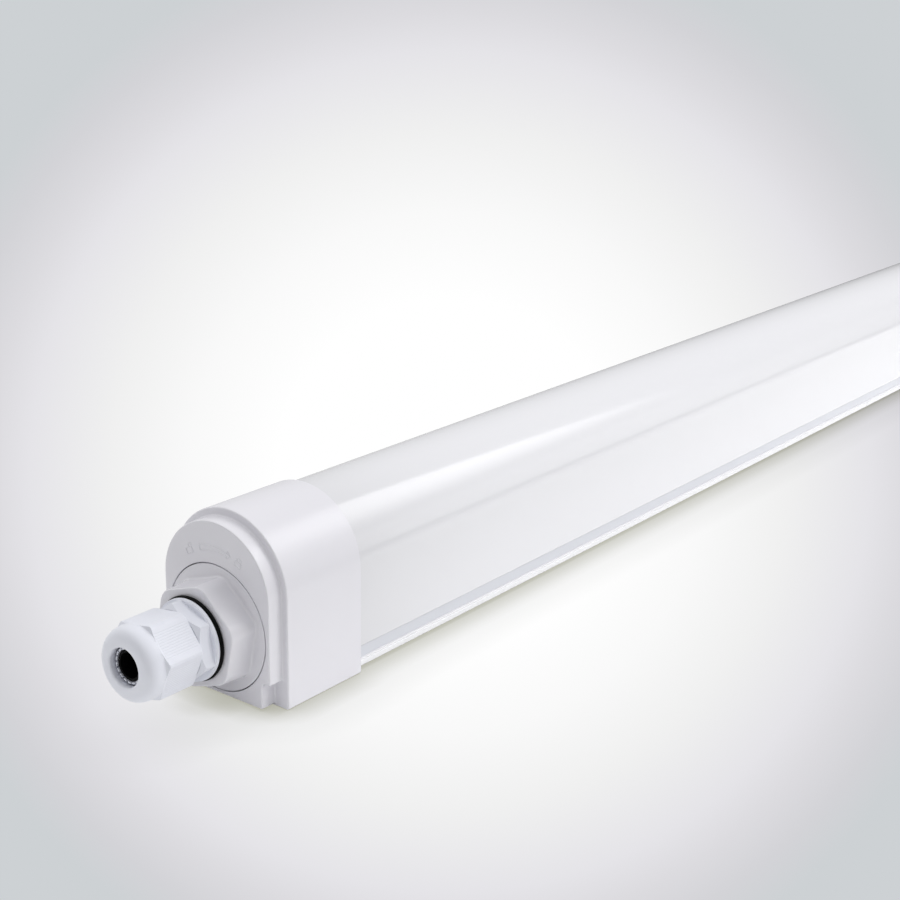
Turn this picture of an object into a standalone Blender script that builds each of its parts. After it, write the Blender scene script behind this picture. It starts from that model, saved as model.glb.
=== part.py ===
"""Batten light: a slim sealed linear luminaire, lying on its flat back with the diffuser up.

Metres, +Z up. X runs along the light, the cable gland is at the -X end, and the origin is the
centre of the base's flat underside. Each end is built in its own frame, which starts at the end
cap's outer face and runs inwards along +X, so the rear end is the front end turned about Z.
"""

import math

import bmesh
import bpy
from mathutils import Matrix, Vector

# Overall
BODY_LENGTH = 0.660  # between the faces of the two end caps
FIT = 0.0003  # gap between pieces that touch or slide
OVERRUN = 0.002  # how far a cutter runs past what it cuts

# End cap
CAP_HALF_WIDTH = 0.0256
CAP_WALL = 0.0011  # sleeve round the tube
CAP_LENGTH = 0.0361  # sleeve, from shell face to rear edge
CAP_FACE_WALL = 0.0025
CAP_SHOULDER_INSET = 0.0008  # how far the shoulder steps in from the tube's outer face
CAP_EDGE_RADIUS = 0.0006
ARCH_CENTRE_Z = 0.0362
BOSS_PROUD = 0.0062
BOSS_SIDE_INSET = 0.0022
BOSS_TOP_INSET = 0.0028
BOSS_BOTTOM_INSET = 0.0010
BOSS_WALL = 0.0022
BOSS_EDGE = 0.0004
BOSS_ROOT = 0.0006  # fillet between boss and shell face
BOSS_POCKET_REACH = 0.0048  # how far the pocket runs down beside the seat, from the seat's top
NOTCH_WIDTH = 0.0036
NOTCH_HEIGHT = 0.0092
NOTCH_RADIUS = 0.0018
POST_SIZE = 0.0020  # posts that keep the gear tray from sliding
CORNER_RADIUS = 0.0010

# Twist plug and its seat in the cap
PLUG_AXIS_Z = 0.0227
PLUG_SIDE_MARGIN = 0.0039  # from the plug's rim to the cap's side
PLUG_RIM = 0.0048  # thickness of the flush disc
PLUG_FRONT_WALL = 0.0026
PLUG_RIM_OVERHANG = 0.0017
PLUG_SHANK_WALL = 0.0030
PLUG_DEPTH = 0.0115
PLUG_TWIST = math.radians(45)
PLUG_TRAVEL = 0.0015
LUG_COUNT = 3
LUG_HALF_ANGLE = math.radians(12)
LUG_SPARE_ANGLE = math.radians(3)
LUG_START_ANGLE = math.radians(30)  # first entry slot, from +Y towards +Z
LUG_THICKNESS = 0.0021
RAMP_THIN = 0.0021  # seat ring's thickness beside an entry slot
GROOVE_START = 0.0013
GROOVE_WIDTH = 0.0022
GROOVE_DEPTH = 0.0021
SEAL_GAP = 0.0003

# Hexagonal boss of the plug
HEX_RIM_MARGIN = 0.0050  # from each flat's root to the plug's rim
HEX_HEIGHT = 0.0102
HEX_TURN = math.radians(-18)
HEX_CORNER = 0.0040
HEX_DRAFT = 0.0003  # how far each flat leans in over the height
HEX_FRONT_CORNER = 0.0066
HEX_FLARE = 0.0008
HEX_EDGE = 0.0007

# Cable gland, M20
THREAD_RADIUS = 0.0099
ENTRY_THREAD = 0.0100
WASHER_RADIUS = 0.0148
WASHER_THICKNESS = 0.0010
GLAND_FLATS = 0.0240
GLAND_CORNER_RADIUS = 0.0136
GLAND_FLANGE_RADIUS = 0.0139
GLAND_FLANGE = 0.0012
GLAND_HEX_LENGTH = 0.0054
GLAND_HEX_TURN = math.radians(21)
GLAND_CHAMFER = 0.0006
SHARP_CORNER = 0.0003
SPIGOT_LENGTH = 0.0082
SPIGOT_BORE = 0.0083
GLAND_BORE = 0.0066
NUT_FLATS = 0.0240
NUT_CORNER_RADIUS = 0.0137
NUT_TURN = math.radians(-8)
NUT_HEX_LENGTH = 0.0128
NUT_STEP = 0.0016  # run of the cone from the hexagon's corners to the dome
NUT_DOME_RADIUS = 0.0124
NUT_DOME_LENGTH = 0.0063
NUT_DOME_FULLNESS = 3.0  # exponent of the dome's superellipse
NUT_LIP = 0.0010
MOUTH_RADIUS = 0.0066
NUT_THREAD_DEPTH = 0.0092
CLAW_WALL = 0.0010
CLAW_TIP_WALL = 0.0007
CLAW_COUNT = 12
CLAW_SLIT = 0.0006
CLAW_RING = 0.0070
CLAW_RECESS = 0.0012  # fingertips behind the mouth
SEAL_BORE = 0.0042
SEAL_RECESS = 0.0010

# Blanking plug of the far end, M20
BLANK_FLANGE_RADIUS = 0.0135
BLANK_FLANGE = 0.0014
BLANK_FLATS = 0.0200
BLANK_HEX = 0.0036
BLANK_THREAD = 0.0080
BLANK_BORE = 0.0072

# Tube: base extrusion and diffuser
DIFFUSER_WALL = 0.0016
DIFFUSER_EDGE_Z = 0.0074
BASE_FLOOR = 0.0018
RAIL_TOP = 0.0039
RAIL_CHAMFER = 0.0008
RAIL_GROOVE_Z = 0.00265
RAIL_GROOVE = 0.0003
RAIL_ROUND = 0.0004
UPSTAND_TOP = 0.0130
UPSTAND_WALL = 0.0017
HOOK_Z = 0.0107
HOOK_HALF = 0.0005
HOOK_DEPTH = 0.0008
RIB_REACH = 0.0019
RIB_THICKNESS = 0.0008
GASKET_THICKNESS = 0.0020
GASKET_WIDTH = 0.0020
GASKET_SEAT = 0.0047  # from the cap's inner face to the shoulder

# Gear tray, boards and driver
TRAY_SHEET = 0.0010
TRAY_SEAT_Z = 0.0083
TRAY_FLANGE = 0.0028  # from the channel's side to the edge in the base's rib
TRAY_TOP_Z = 0.0280
TRAY_ACCESS = 0.0240
TRAY_ACCESS_FLOOR = 0.0125
BOARD_SIDE_GAP = 0.0045  # from the board's edge to the tray's side
BOARD_THICKNESS = 0.0016
BOARD_GAP = 0.0080
BOARD_END_GAP = 0.0030
LED_PITCH = 0.0102
LED_LENGTH = 0.0035
LED_WIDTH = 0.0028
LED_HEIGHT = 0.0008
SINK = 0.0004  # how far a fused piece runs into the one that carries it
JUMPER_LENGTH = 0.0140
JUMPER_HEIGHT = 0.0026
JUMPER_EDGE_GAP = 0.0015  # from the jumper to the board's edge
JUMPER_FEED_GAP = 0.0025  # from the jumper to the feed plug
FEED_WIDTH = 0.0060
TRAY_SLOT_LENGTH = 0.0050
TRAY_SLOT_WIDTH = 0.0110
DRIVER_SET_BACK = 0.0507  # from the earth screw to the driver
DRIVER_SIDE_GAP = 0.0015
DRIVER_HEIGHT = 0.0154
DRIVER_WALL = 0.0012
DRIVER_LID = 0.0012
DRIVER_END_X = -0.0200
WIRE_BEND_SHARES = (0.20, 0.50, 0.85)  # of the run from terminal to driver
DRIVER_BOARD_LIFT = 0.0022
TERMINAL_LENGTH = 0.0220
TERMINAL_SIDE_GAP = 0.0042
TERMINAL_HEIGHT = 0.0140
TERMINAL_POLES = 3
TERMINAL_HOLE = 0.0042
TERMINAL_HOLE_DEPTH = 0.0100
TERMINAL_SET_BACK = 0.0060
WIRE_RADIUS = 0.0012
DC_WIRE_RADIUS = 0.0008
EARTH_SCREW_RADIUS = 0.0019
EARTH_HEAD_RADIUS = 0.0036
EARTH_HEAD_EDGE = 0.0029  # radius of the head's lower rim
EARTH_HEAD_HEIGHT = 0.0022
EARTH_SET_BACK = 0.0160

# Facets of round stretches
LARGE_STEPS = 48
SMALL_STEPS = 40
ARCH_STEPS = 32
WASHER_EDGE_STEPS = 3
ORING_STEPS = 8
WIRE_STEPS = 3
DOME_STEPS = 9
HEX_STEPS = 5
DIFFUSER_STEPS = 36
SCREW_STEPS = 24
CLAW_STEPS = 4 * CLAW_COUNT

# Places worked out from the sizes above
PLUG_RADIUS = CAP_HALF_WIDTH - PLUG_SIDE_MARGIN
PLUG_SHANK_RADIUS = PLUG_RADIUS - PLUG_RIM_OVERHANG
PLUG_SHANK_BORE = PLUG_SHANK_RADIUS - PLUG_SHANK_WALL
HEX_FLATS = 2 * (PLUG_RADIUS - HEX_RIM_MARGIN)  # at the root
TUBE_HALF_WIDTH = CAP_HALF_WIDTH - CAP_WALL - FIT
CAP_BOTTOM_Z = -(CAP_WALL + FIT)
FACE_INNER = BOSS_PROUD + CAP_FACE_WALL
SHOULDER = FACE_INNER + GASKET_SEAT
TUBE_START = SHOULDER + GASKET_THICKNESS + 2 * FIT
CAP_END = BOSS_PROUD + CAP_LENGTH
TUBE_LENGTH = BODY_LENGTH - 2 * TUBE_START
SEAT_RADIUS = PLUG_RADIUS + FIT
SEAT_FLOOR = PLUG_RIM + FIT
RING_BORE = PLUG_SHANK_RADIUS + FIT
LUG_RADIUS = SEAT_RADIUS - 2 * FIT
TRAY_LENGTH = TUBE_LENGTH - 2 * FIT
THREAD_BORE = THREAD_RADIUS + FIT
UPSTAND_Y = TUBE_HALF_WIDTH - DIFFUSER_WALL - FIT
TRAY_EDGE_Y = UPSTAND_Y - UPSTAND_WALL - FIT
TRAY_HALF_WIDTH = TRAY_EDGE_Y - TRAY_FLANGE
POST_Y = TRAY_HALF_WIDTH + TRAY_FLANGE / 2
BOARD_WIDTH = 2 * (TRAY_HALF_WIDTH - BOARD_SIDE_GAP)
JUMPER_WIDTH = (BOARD_WIDTH - FEED_WIDTH) / 2 - JUMPER_EDGE_GAP - JUMPER_FEED_GAP
JUMPER_Y = BOARD_WIDTH / 2 - JUMPER_EDGE_GAP - JUMPER_WIDTH / 2
TERMINAL_POLE = 2 * (TRAY_HALF_WIDTH - TRAY_SHEET - TERMINAL_SIDE_GAP) / TERMINAL_POLES
DRIVER_WIDTH = 2 * (TRAY_HALF_WIDTH - TRAY_SHEET - DRIVER_SIDE_GAP)
TRAY_TOP_START = TRAY_ACCESS - TRAY_LENGTH / 2  # the raised channel, behind the access opening
TERMINAL_START = TRAY_TOP_START + TERMINAL_SET_BACK
EARTH_X = TERMINAL_START + TERMINAL_LENGTH + EARTH_SET_BACK
DRIVER_START = EARTH_X + DRIVER_SET_BACK
BOARD_TOP = TRAY_TOP_Z + FIT + BOARD_THICKNESS


def material(name, colour, roughness, metallic=0.0):
    made = bpy.data.materials.new(name)
    made.use_nodes = True
    shader = made.node_tree.nodes["Principled BSDF"]
    shader.inputs["Base Color"].default_value = (*colour, 1)
    shader.inputs["Roughness"].default_value = roughness
    shader.inputs["Metallic"].default_value = metallic
    made.diffuse_color = (*colour, 1)
    return made


def clear_scene():
    for old in list(bpy.data.objects):
        bpy.data.objects.remove(old, do_unlink=True)


def mesh_object(name, bm, finish=None, parent=None, location=(0, 0, 0)):
    """A named object from a bmesh, with its faces turned outwards."""
    bmesh.ops.recalc_face_normals(bm, faces=bm.faces)
    mesh = bpy.data.meshes.new(name)
    bm.to_mesh(mesh)
    bm.free()
    mesh.shade_smooth()
    mesh.set_sharp_from_angle(angle=math.radians(35))
    made = bpy.data.objects.new(name, mesh)
    bpy.context.scene.collection.objects.link(made)
    made.parent = parent
    made.location = location
    if finish:
        mesh.materials.append(finish)
    return made


def hide_cutter(cutter):
    cutter.hide_render = True
    cutter.display_type = "WIRE"
    return cutter


def boolean(target, other, operation):
    step = target.modifiers.new(f"{operation.lower()} {other.name}", "BOOLEAN")
    step.operation = operation
    step.solver = "EXACT"
    step.object = hide_cutter(other)


def empty_frame(name, x, turn):
    frame = bpy.data.objects.new(name, None)
    bpy.context.scene.collection.objects.link(frame)
    frame.location = (x, 0, 0)
    frame.rotation_euler = (0, 0, turn)
    return frame


def loft(sections):
    """A closed solid through outlines given as (x, [(y, z), ...]), each with as many points."""
    bm = bmesh.new()
    rings = [[bm.verts.new((x, y, z)) for y, z in outline] for x, outline in sections]
    for first, second in zip(rings, rings[1:]):
        for i in range(len(first)):
            j = (i + 1) % len(first)
            bm.faces.new((first[i], first[j], second[j], second[i]))
    bm.faces.new(rings[0])
    bm.faces.new(rings[-1])
    return bm


def prism(outline, start, end):
    return loft([(start, outline), (end, outline)])


def turned(profile, steps):
    """A closed ring turned about X from a profile of (x, radius) points."""
    bm = bmesh.new()
    verts = [bm.verts.new((x, radius, 0)) for x, radius in profile]
    edges = [bm.edges.new((a, b)) for a, b in zip(verts, verts[1:] + verts[:1])]
    bmesh.ops.spin(
        bm, geom=verts + edges, cent=(0, 0, 0), axis=(1, 0, 0),
        angle=math.tau, steps=steps, use_merge=True,
    )
    bmesh.ops.remove_doubles(bm, verts=bm.verts, dist=FIT / 100)
    return bm


def rod(radius, start, end, steps):
    """A plain solid cylinder along X, for bores."""
    return prism(circle(radius, steps), start, end)


def circle(radius, steps, centre_z=0.0):
    return [
        (radius * math.cos(math.tau * i / steps), centre_z + radius * math.sin(math.tau * i / steps))
        for i in range(steps)
    ]


def add_box(bm, low, high):
    size = Vector(high) - Vector(low)
    centre = (Vector(high) + Vector(low)) / 2
    bmesh.ops.create_cube(bm, size=1, matrix=Matrix.Translation(centre) @ Matrix.Diagonal((*size, 1)))


def box(low, high):
    bm = bmesh.new()
    add_box(bm, low, high)
    return bm


def arch_outline(half_width, bottom, centre_z, radius_z, corner, steps=ARCH_STEPS):
    """A flat-bottomed D: straight sides and a round top, starting at the lower right corner."""
    points = []
    for i in range(4):
        angle = -math.pi / 2 + (math.pi / 2) * i / 3
        points.append((half_width - corner + corner * math.cos(angle), bottom + corner + corner * math.sin(angle)))
    for i in range(steps + 1):
        angle = math.pi * i / steps
        points.append((half_width * math.cos(angle), centre_z + radius_z * math.sin(angle)))
    for i in range(4):
        angle = math.pi + (math.pi / 2) * i / 3
        points.append((-half_width + corner + corner * math.cos(angle), bottom + corner + corner * math.sin(angle)))
    return points


def cap_outline(inset):
    """The end cap's D, drawn in by an inset."""
    half = CAP_HALF_WIDTH - inset
    return arch_outline(half, CAP_BOTTOM_Z + inset, ARCH_CENTRE_Z, half, CORNER_RADIUS)


def boss_outline(inset):
    half = CAP_HALF_WIDTH - BOSS_SIDE_INSET - inset
    rise = CAP_HALF_WIDTH - BOSS_TOP_INSET - inset
    bottom = CAP_BOTTOM_Z + BOSS_BOTTOM_INSET + inset
    return arch_outline(half, bottom, ARCH_CENTRE_Z, rise, BOSS_EDGE)


def hex_outline(flats, corner, turn, steps=3):
    """A hexagon with rounded corners, turned about X from +Y."""
    points = []
    reach = (flats / 2 - corner) / math.cos(math.pi / 6)
    for side in range(6):
        middle = turn + side * math.pi / 3
        for i in range(steps + 1):
            angle = middle + (i / steps - 0.5) * math.pi / 3
            points.append((
                reach * math.cos(middle) + corner * math.cos(angle),
                reach * math.sin(middle) + corner * math.sin(angle),
            ))
    return points


def eased_prism(outline_at, start, end, radius, steps=4):
    """A prism whose edge at the start is rounded. outline_at gives the outline for an inset."""
    sections = []
    for i in range(steps + 1):
        angle = (math.pi / 2) * i / steps
        sections.append((start + radius * (1 - math.sin(angle)), outline_at(radius * (1 - math.cos(angle)))))
    sections.reverse()
    return loft([*sections, (end, outline_at(0))])


def ramp_depth(angle):
    """Depth of the seat ring's back face, at an angle from the middle of an entry slot."""
    past_slot = angle - LUG_HALF_ANGLE - LUG_SPARE_ANGLE
    return SEAT_FLOOR + RAMP_THIN + PLUG_TRAVEL * past_slot / PLUG_TWIST


def add_sector(bm, stations, inner, outer):
    """A closed curved block about X, through stations of (angle, front x, back x)."""
    rings = []
    for angle, front, back in stations:
        corners = ((inner, front), (outer, front), (outer, back), (inner, back))
        rings.append([bm.verts.new((x, r * math.cos(angle), r * math.sin(angle))) for r, x in corners])
    for first, second in zip(rings, rings[1:]):
        for i in range(4):
            j = (i + 1) % 4
            bm.faces.new((first[i], first[j], second[j], second[i]))
    bm.faces.new(rings[0])
    bm.faces.new(rings[-1])


def lug_middles():
    return [LUG_START_ANGLE + math.tau * i / LUG_COUNT for i in range(LUG_COUNT)]


def bayonet_cutter():
    """Three entry slots, each leading into a helical ramp behind the seat ring."""
    bm = bmesh.new()
    slot_half = LUG_HALF_ANGLE + LUG_SPARE_ANGLE
    ramp_end = PLUG_TWIST + slot_half
    step_share = 0.02  # share of the slot taken by the wall between slot and ramp
    for middle in lug_middles():
        stations = [
            (middle + slot_half * share, SEAT_FLOOR - OVERRUN, SHOULDER)
            for share in (-1, -0.5, 0, 0.5, 1)
        ]
        for i in range(10):
            angle = slot_half * (1 + step_share) + (ramp_end - slot_half * (1 + step_share)) * i / 9
            stations.append((middle + angle, ramp_depth(angle), SHOULDER))
        add_sector(bm, stations, RING_BORE - OVERRUN, SEAT_RADIUS)
    return bm


def plug_lugs():
    bm = bmesh.new()
    for middle in lug_middles():
        stations = []
        for i in range(7):
            angle = PLUG_TWIST + LUG_HALF_ANGLE * (i / 3 - 1)
            front = ramp_depth(angle) + FIT
            stations.append((middle + angle, front, front + LUG_THICKNESS))
        add_sector(bm, stations, PLUG_SHANK_RADIUS - SINK, LUG_RADIUS)
    return bm


def boss_notches():
    """Two upright recesses in the boss's lower corners, with a rounded inner corner."""
    bm = bmesh.new()
    bottom = CAP_BOTTOM_Z - OVERRUN
    top = CAP_BOTTOM_Z + BOSS_BOTTOM_INSET + NOTCH_HEIGHT
    outer = CAP_HALF_WIDTH + OVERRUN
    inner = CAP_HALF_WIDTH - BOSS_SIDE_INSET - NOTCH_WIDTH
    outline = [(inner, bottom), (outer, bottom), (outer, top)]
    for i in range(5):
        angle = math.pi / 2 + (math.pi / 2) * i / 4
        outline.append((
            inner + NOTCH_RADIUS + NOTCH_RADIUS * math.cos(angle),
            top - NOTCH_RADIUS + NOTCH_RADIUS * math.sin(angle),
        ))
    for side in (1, -1):
        ends = [
            [bm.verts.new((x, side * y, z)) for y, z in outline]
            for x in (-OVERRUN, BOSS_PROUD)
        ]
        for i in range(len(outline)):
            j = (i + 1) % len(outline)
            bm.faces.new((ends[0][i], ends[0][j], ends[1][j], ends[1][i]))
        bm.faces.new(ends[0])
        bm.faces.new(ends[1])
    return bm


def end_cap(prefix, frame, finish):
    """Moulded sleeve and face with a proud D-shaped boss and the bayonet seat for the plug."""
    name = f"{prefix}_end_cap"
    cap = mesh_object(name, eased_prism(cap_outline, BOSS_PROUD, CAP_END, CAP_EDGE_RADIUS), finish, frame)
    boss = mesh_object(f"{name}_boss", flared_boss(), None, frame)
    boolean(boss, mesh_object(f"{name}_notches", boss_notches(), None, frame), "DIFFERENCE")
    boolean(cap, boss, "UNION")

    sleeve = prism(cap_outline(CAP_WALL), SHOULDER, CAP_END + OVERRUN)
    boolean(cap, mesh_object(f"{name}_sleeve", sleeve, None, frame), "DIFFERENCE")
    inset = CAP_WALL + FIT + CAP_SHOULDER_INSET + GASKET_WIDTH / 2
    chamber = prism(cap_outline(inset), FACE_INNER, SHOULDER + OVERRUN)
    boolean(cap, mesh_object(f"{name}_chamber", chamber, None, frame), "DIFFERENCE")
    boolean(cap, mesh_object(f"{name}_posts", tray_posts(), None, frame), "UNION")

    place = (0, 0, PLUG_AXIS_Z)
    seat = turned_solid(SEAT_RADIUS, -OVERRUN, SEAT_FLOOR)
    boolean(cap, mesh_object(f"{name}_seat", seat, None, frame, place), "DIFFERENCE")
    bore = turned_solid(RING_BORE, 0, SHOULDER)
    boolean(cap, mesh_object(f"{name}_bore", bore, None, frame, place), "DIFFERENCE")
    bayonet = mesh_object(f"{name}_bayonet", bayonet_cutter(), None, frame, place)
    boolean(cap, bayonet, "DIFFERENCE")
    boolean(cap, boss_pocket(name, frame), "DIFFERENCE")
    return cap


def flared_boss():
    """The boss, with an eased front edge and a fillet where it meets the shell face."""
    sections = []
    for i in range(3):
        angle = (math.pi / 2) * i / 2
        sections.append((BOSS_EDGE * (1 - math.cos(angle)), boss_outline(BOSS_EDGE * (1 - math.sin(angle)))))
    for i in range(4):
        angle = (math.pi / 2) * i / 3
        spread = BOSS_ROOT * (1 - math.cos(angle))
        sections.append((BOSS_PROUD - BOSS_ROOT * (1 - math.sin(angle)), boss_outline(-spread)))
    return loft([*sections, (FACE_INNER, boss_outline(-BOSS_ROOT))])


def tray_posts():
    """Two pins that reach from the cap's face to the ends of the gear tray's flanges."""
    bm = bmesh.new()
    middle_z = TRAY_SEAT_Z + TRAY_SHEET / 2
    for y in (POST_Y, -POST_Y):
        low = (FACE_INNER - SINK, y - POST_SIZE / 2, middle_z - POST_SIZE / 2)
        add_box(bm, low, (TUBE_START, y + POST_SIZE / 2, middle_z + POST_SIZE / 2))
    return bm


def turned_solid(radius, start, end):
    return rod(radius, start, end, LARGE_STEPS)


def boss_pocket(name, frame):
    """The hollow behind the boss's upper face, which keeps its wall even."""
    half = CAP_HALF_WIDTH - BOSS_SIDE_INSET - BOSS_WALL
    rise = CAP_HALF_WIDTH - BOSS_TOP_INSET - BOSS_WALL
    floor = PLUG_AXIS_Z + SEAT_RADIUS - BOSS_POCKET_REACH
    start = math.asin((floor - ARCH_CENTRE_Z) / rise)
    outline = []
    for i in range(ARCH_STEPS + 1):
        angle = start + (math.pi - 2 * start) * i / ARCH_STEPS
        outline.append((half * math.cos(angle), ARCH_CENTRE_Z + rise * math.sin(angle)))
    pocket = mesh_object(f"{name}_pocket", prism(outline, BOSS_WALL, FACE_INNER + OVERRUN), None, frame)
    wall = rod(SEAT_RADIUS + BOSS_WALL, 0, FACE_INNER + 2 * OVERRUN, LARGE_STEPS)
    keep = mesh_object(f"{name}_seat_wall", wall, None, frame, (0, 0, PLUG_AXIS_Z))
    boolean(pocket, keep, "DIFFERENCE")
    return pocket


def cap_gasket(prefix, frame, finish):
    """Flat D-shaped ring between the cap's shoulder and the tube's end."""
    start = SHOULDER + FIT
    end = start + GASKET_THICKNESS
    ring = mesh_object(f"{prefix}_cap_gasket", prism(cap_outline(CAP_WALL + FIT), start, end), finish, frame)
    inner = prism(cap_outline(CAP_WALL + FIT + GASKET_WIDTH), start - OVERRUN, end + OVERRUN)
    boolean(ring, mesh_object(f"{prefix}_cap_gasket_hole", inner, None, frame), "DIFFERENCE")
    return ring


def twist_plug(prefix, frame, finish):
    """Flush disc, hexagonal boss with the entry thread, shank and three bayonet lugs."""
    name = f"{prefix}_twist_plug"
    place = (0, 0, PLUG_AXIS_Z)
    groove_floor = PLUG_RADIUS - GROOVE_DEPTH
    groove_end = GROOVE_START + GROOVE_WIDTH
    profile = [
        (0, THREAD_BORE),
        (0, PLUG_RADIUS),
        (GROOVE_START, PLUG_RADIUS),
        (GROOVE_START, groove_floor),
        (groove_end, groove_floor),
        (groove_end, PLUG_RADIUS),
        (PLUG_RIM, PLUG_RADIUS),
        (PLUG_RIM, PLUG_SHANK_RADIUS),
        (PLUG_DEPTH, PLUG_SHANK_RADIUS),
        (PLUG_DEPTH, PLUG_SHANK_BORE),
        (PLUG_FRONT_WALL, PLUG_SHANK_BORE),
        (PLUG_FRONT_WALL, THREAD_BORE),
    ]
    plug = mesh_object(name, turned(profile, LARGE_STEPS), finish, frame, place)
    tower = mesh_object(f"{name}_hex", hex_boss(), None, frame, place)
    bore = rod(THREAD_BORE, -HEX_HEIGHT - OVERRUN, PLUG_FRONT_WALL + OVERRUN, SMALL_STEPS)
    bore = mesh_object(f"{name}_thread_bore", bore, None, frame, place)
    boolean(tower, bore, "DIFFERENCE")
    boolean(plug, tower, "UNION")
    boolean(plug, mesh_object(f"{name}_lugs", plug_lugs(), None, frame, place), "UNION")
    return plug


def hex_boss():
    """Hexagon with rounded corners that widen towards the front, a small root fillet and an eased edge."""
    def outline_at(height, spread):
        share = max(height, 0) / HEX_HEIGHT
        corner = HEX_CORNER + (HEX_FRONT_CORNER - HEX_CORNER) * share
        return hex_outline(HEX_FLATS + 2 * (spread - HEX_DRAFT * share), corner + spread, HEX_TURN, HEX_STEPS)

    sections = [(PLUG_FRONT_WALL / 2, outline_at(0, HEX_FLARE))]
    for i in range(4):
        angle = (math.pi / 2) * i / 3
        height = HEX_FLARE * (1 - math.cos(angle))
        sections.append((-height, outline_at(height, HEX_FLARE * (1 - math.sin(angle)))))
    for i in range(4):
        angle = (math.pi / 2) * i / 3
        height = HEX_HEIGHT - HEX_EDGE * (1 - math.sin(angle))
        sections.append((-height, outline_at(height, -HEX_EDGE * (1 - math.cos(angle)))))
    return loft(sections)


def ring_profile(middle_x, middle_radius, half, steps=ORING_STEPS):
    """Round section of an O-ring."""
    return [
        (middle_x + half * math.cos(math.tau * i / steps), middle_radius + half * math.sin(math.tau * i / steps))
        for i in range(steps)
    ]


def plug_oring(prefix, frame, finish):
    half = (GROOVE_DEPTH - SEAL_GAP) / 2
    middle = PLUG_RADIUS - half
    profile = ring_profile(GROOVE_START + GROOVE_WIDTH / 2, middle, half)
    return mesh_object(f"{prefix}_plug_oring", turned(profile, SMALL_STEPS), finish, frame, (0, 0, PLUG_AXIS_Z))


def flat_washer_profile(start, inner, outer, thickness):
    """A flat seal with a round outer edge, laid against start and running outwards."""
    half = thickness / 2
    points = [(start, inner), (start - thickness, inner)]
    for i in range(WASHER_EDGE_STEPS + 1):
        angle = math.pi * i / WASHER_EDGE_STEPS
        points.append((start - half - half * math.cos(angle), outer - half + half * math.sin(angle)))
    return points


def gland(frame, finishes):
    """Compression gland: seal washer, body, claw insert, rubber sleeve and dome nut."""
    place = (0, 0, PLUG_AXIS_Z)
    washer_start = -(HEX_HEIGHT + FIT)
    washer = flat_washer_profile(washer_start, THREAD_BORE, WASHER_RADIUS, WASHER_THICKNESS)
    mesh_object("gland_oring", turned(washer, SMALL_STEPS), finishes["rubber"], frame, place)

    rear = washer_start - WASHER_THICKNESS - FIT
    front = rear - GLAND_FLANGE - GLAND_HEX_LENGTH
    spigot_end = front - SPIGOT_LENGTH
    gland_body(rear, front, spigot_end, finishes["nylon"], frame, place)

    nut_rear = front - FIT
    nut_front = nut_rear - NUT_HEX_LENGTH - NUT_STEP - NUT_DOME_LENGTH
    gland_nut(nut_rear, nut_front, finishes["nylon"], frame, place)
    gland_insert(spigot_end, nut_front, finishes, frame, place)


def gland_body(rear, front, spigot_end, finish, frame, place):
    entry_end = rear + WASHER_THICKNESS + FIT + ENTRY_THREAD
    seat = spigot_end + CLAW_RING + FIT
    flange_front = rear - GLAND_FLANGE
    edge = GLAND_FLANGE / 4
    outer = [
        (entry_end, GLAND_BORE),
        (entry_end, THREAD_RADIUS),
        (rear, THREAD_RADIUS),
        (rear, GLAND_FLANGE_RADIUS - edge),
        (rear - edge, GLAND_FLANGE_RADIUS),
        (flange_front + edge, GLAND_FLANGE_RADIUS),
        (flange_front, GLAND_CORNER_RADIUS),
        (front + GLAND_CHAMFER, GLAND_CORNER_RADIUS),
        (front, GLAND_CORNER_RADIUS - GLAND_CHAMFER),
        (front, THREAD_RADIUS),
        (spigot_end, THREAD_RADIUS),
        (spigot_end, SPIGOT_BORE),
        (seat, SPIGOT_BORE),
        (seat, GLAND_BORE),
    ]
    body = mesh_object("gland_body", turned(outer, LARGE_STEPS), finish, frame, place)
    keep = flanged_hexagon(flange_front, spigot_end, GLAND_FLATS, GLAND_HEX_TURN, entry_end, edge)
    boolean(body, mesh_object("gland_body_flats", keep, None, frame, place), "INTERSECT")
    return body


def flanged_hexagon(face, front, flats, turn, back, run):
    """The space kept for a hexagon that stands on a full flange."""
    hexagon = hex_outline(flats, SHARP_CORNER, turn, 1)
    wide = hex_outline(2 * flats, SHARP_CORNER, turn, 1)
    return loft([
        (front - OVERRUN, hexagon),
        (face - run, hexagon),
        (face, wide),
        (back + OVERRUN, wide),
    ])


def dome_profile(start, end):
    """Quarter superellipse from the dome's root to the lip of its mouth."""
    points = []
    lip = MOUTH_RADIUS + NUT_LIP / 2
    power = 2 / NUT_DOME_FULLNESS
    for i in range(DOME_STEPS + 1):
        angle = (math.pi / 2) * i / DOME_STEPS
        rise = max(math.cos(angle), 0) ** power if i < DOME_STEPS else 0
        points.append((start + (end - start) * math.sin(angle) ** power, lip + (NUT_DOME_RADIUS - lip) * rise))
    return points


def gland_nut(rear, front, finish, frame, place):
    """Hexagon whose corners step down to a smooth dome, hollow for the spigot and the claw."""
    hex_end = rear - NUT_HEX_LENGTH
    dome_start = hex_end - NUT_STEP
    profile = [
        (rear, THREAD_BORE),
        (rear, NUT_CORNER_RADIUS - GLAND_CHAMFER),
        (rear - GLAND_CHAMFER, NUT_CORNER_RADIUS),
        (hex_end, NUT_CORNER_RADIUS),
        *dome_profile(dome_start, front),
        (front + NUT_LIP / 2, MOUTH_RADIUS),
        (front + CLAW_RECESS, MOUTH_RADIUS),
        (rear - NUT_THREAD_DEPTH, THREAD_BORE),
    ]
    nut = mesh_object("gland_nut", turned(profile, LARGE_STEPS), finish, frame, place)
    keep = prism(hex_outline(NUT_FLATS, SHARP_CORNER, NUT_TURN, 1), rear + OVERRUN, front - OVERRUN)
    boolean(nut, mesh_object("gland_nut_flats", keep, None, frame, place), "INTERSECT")
    return nut


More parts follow.
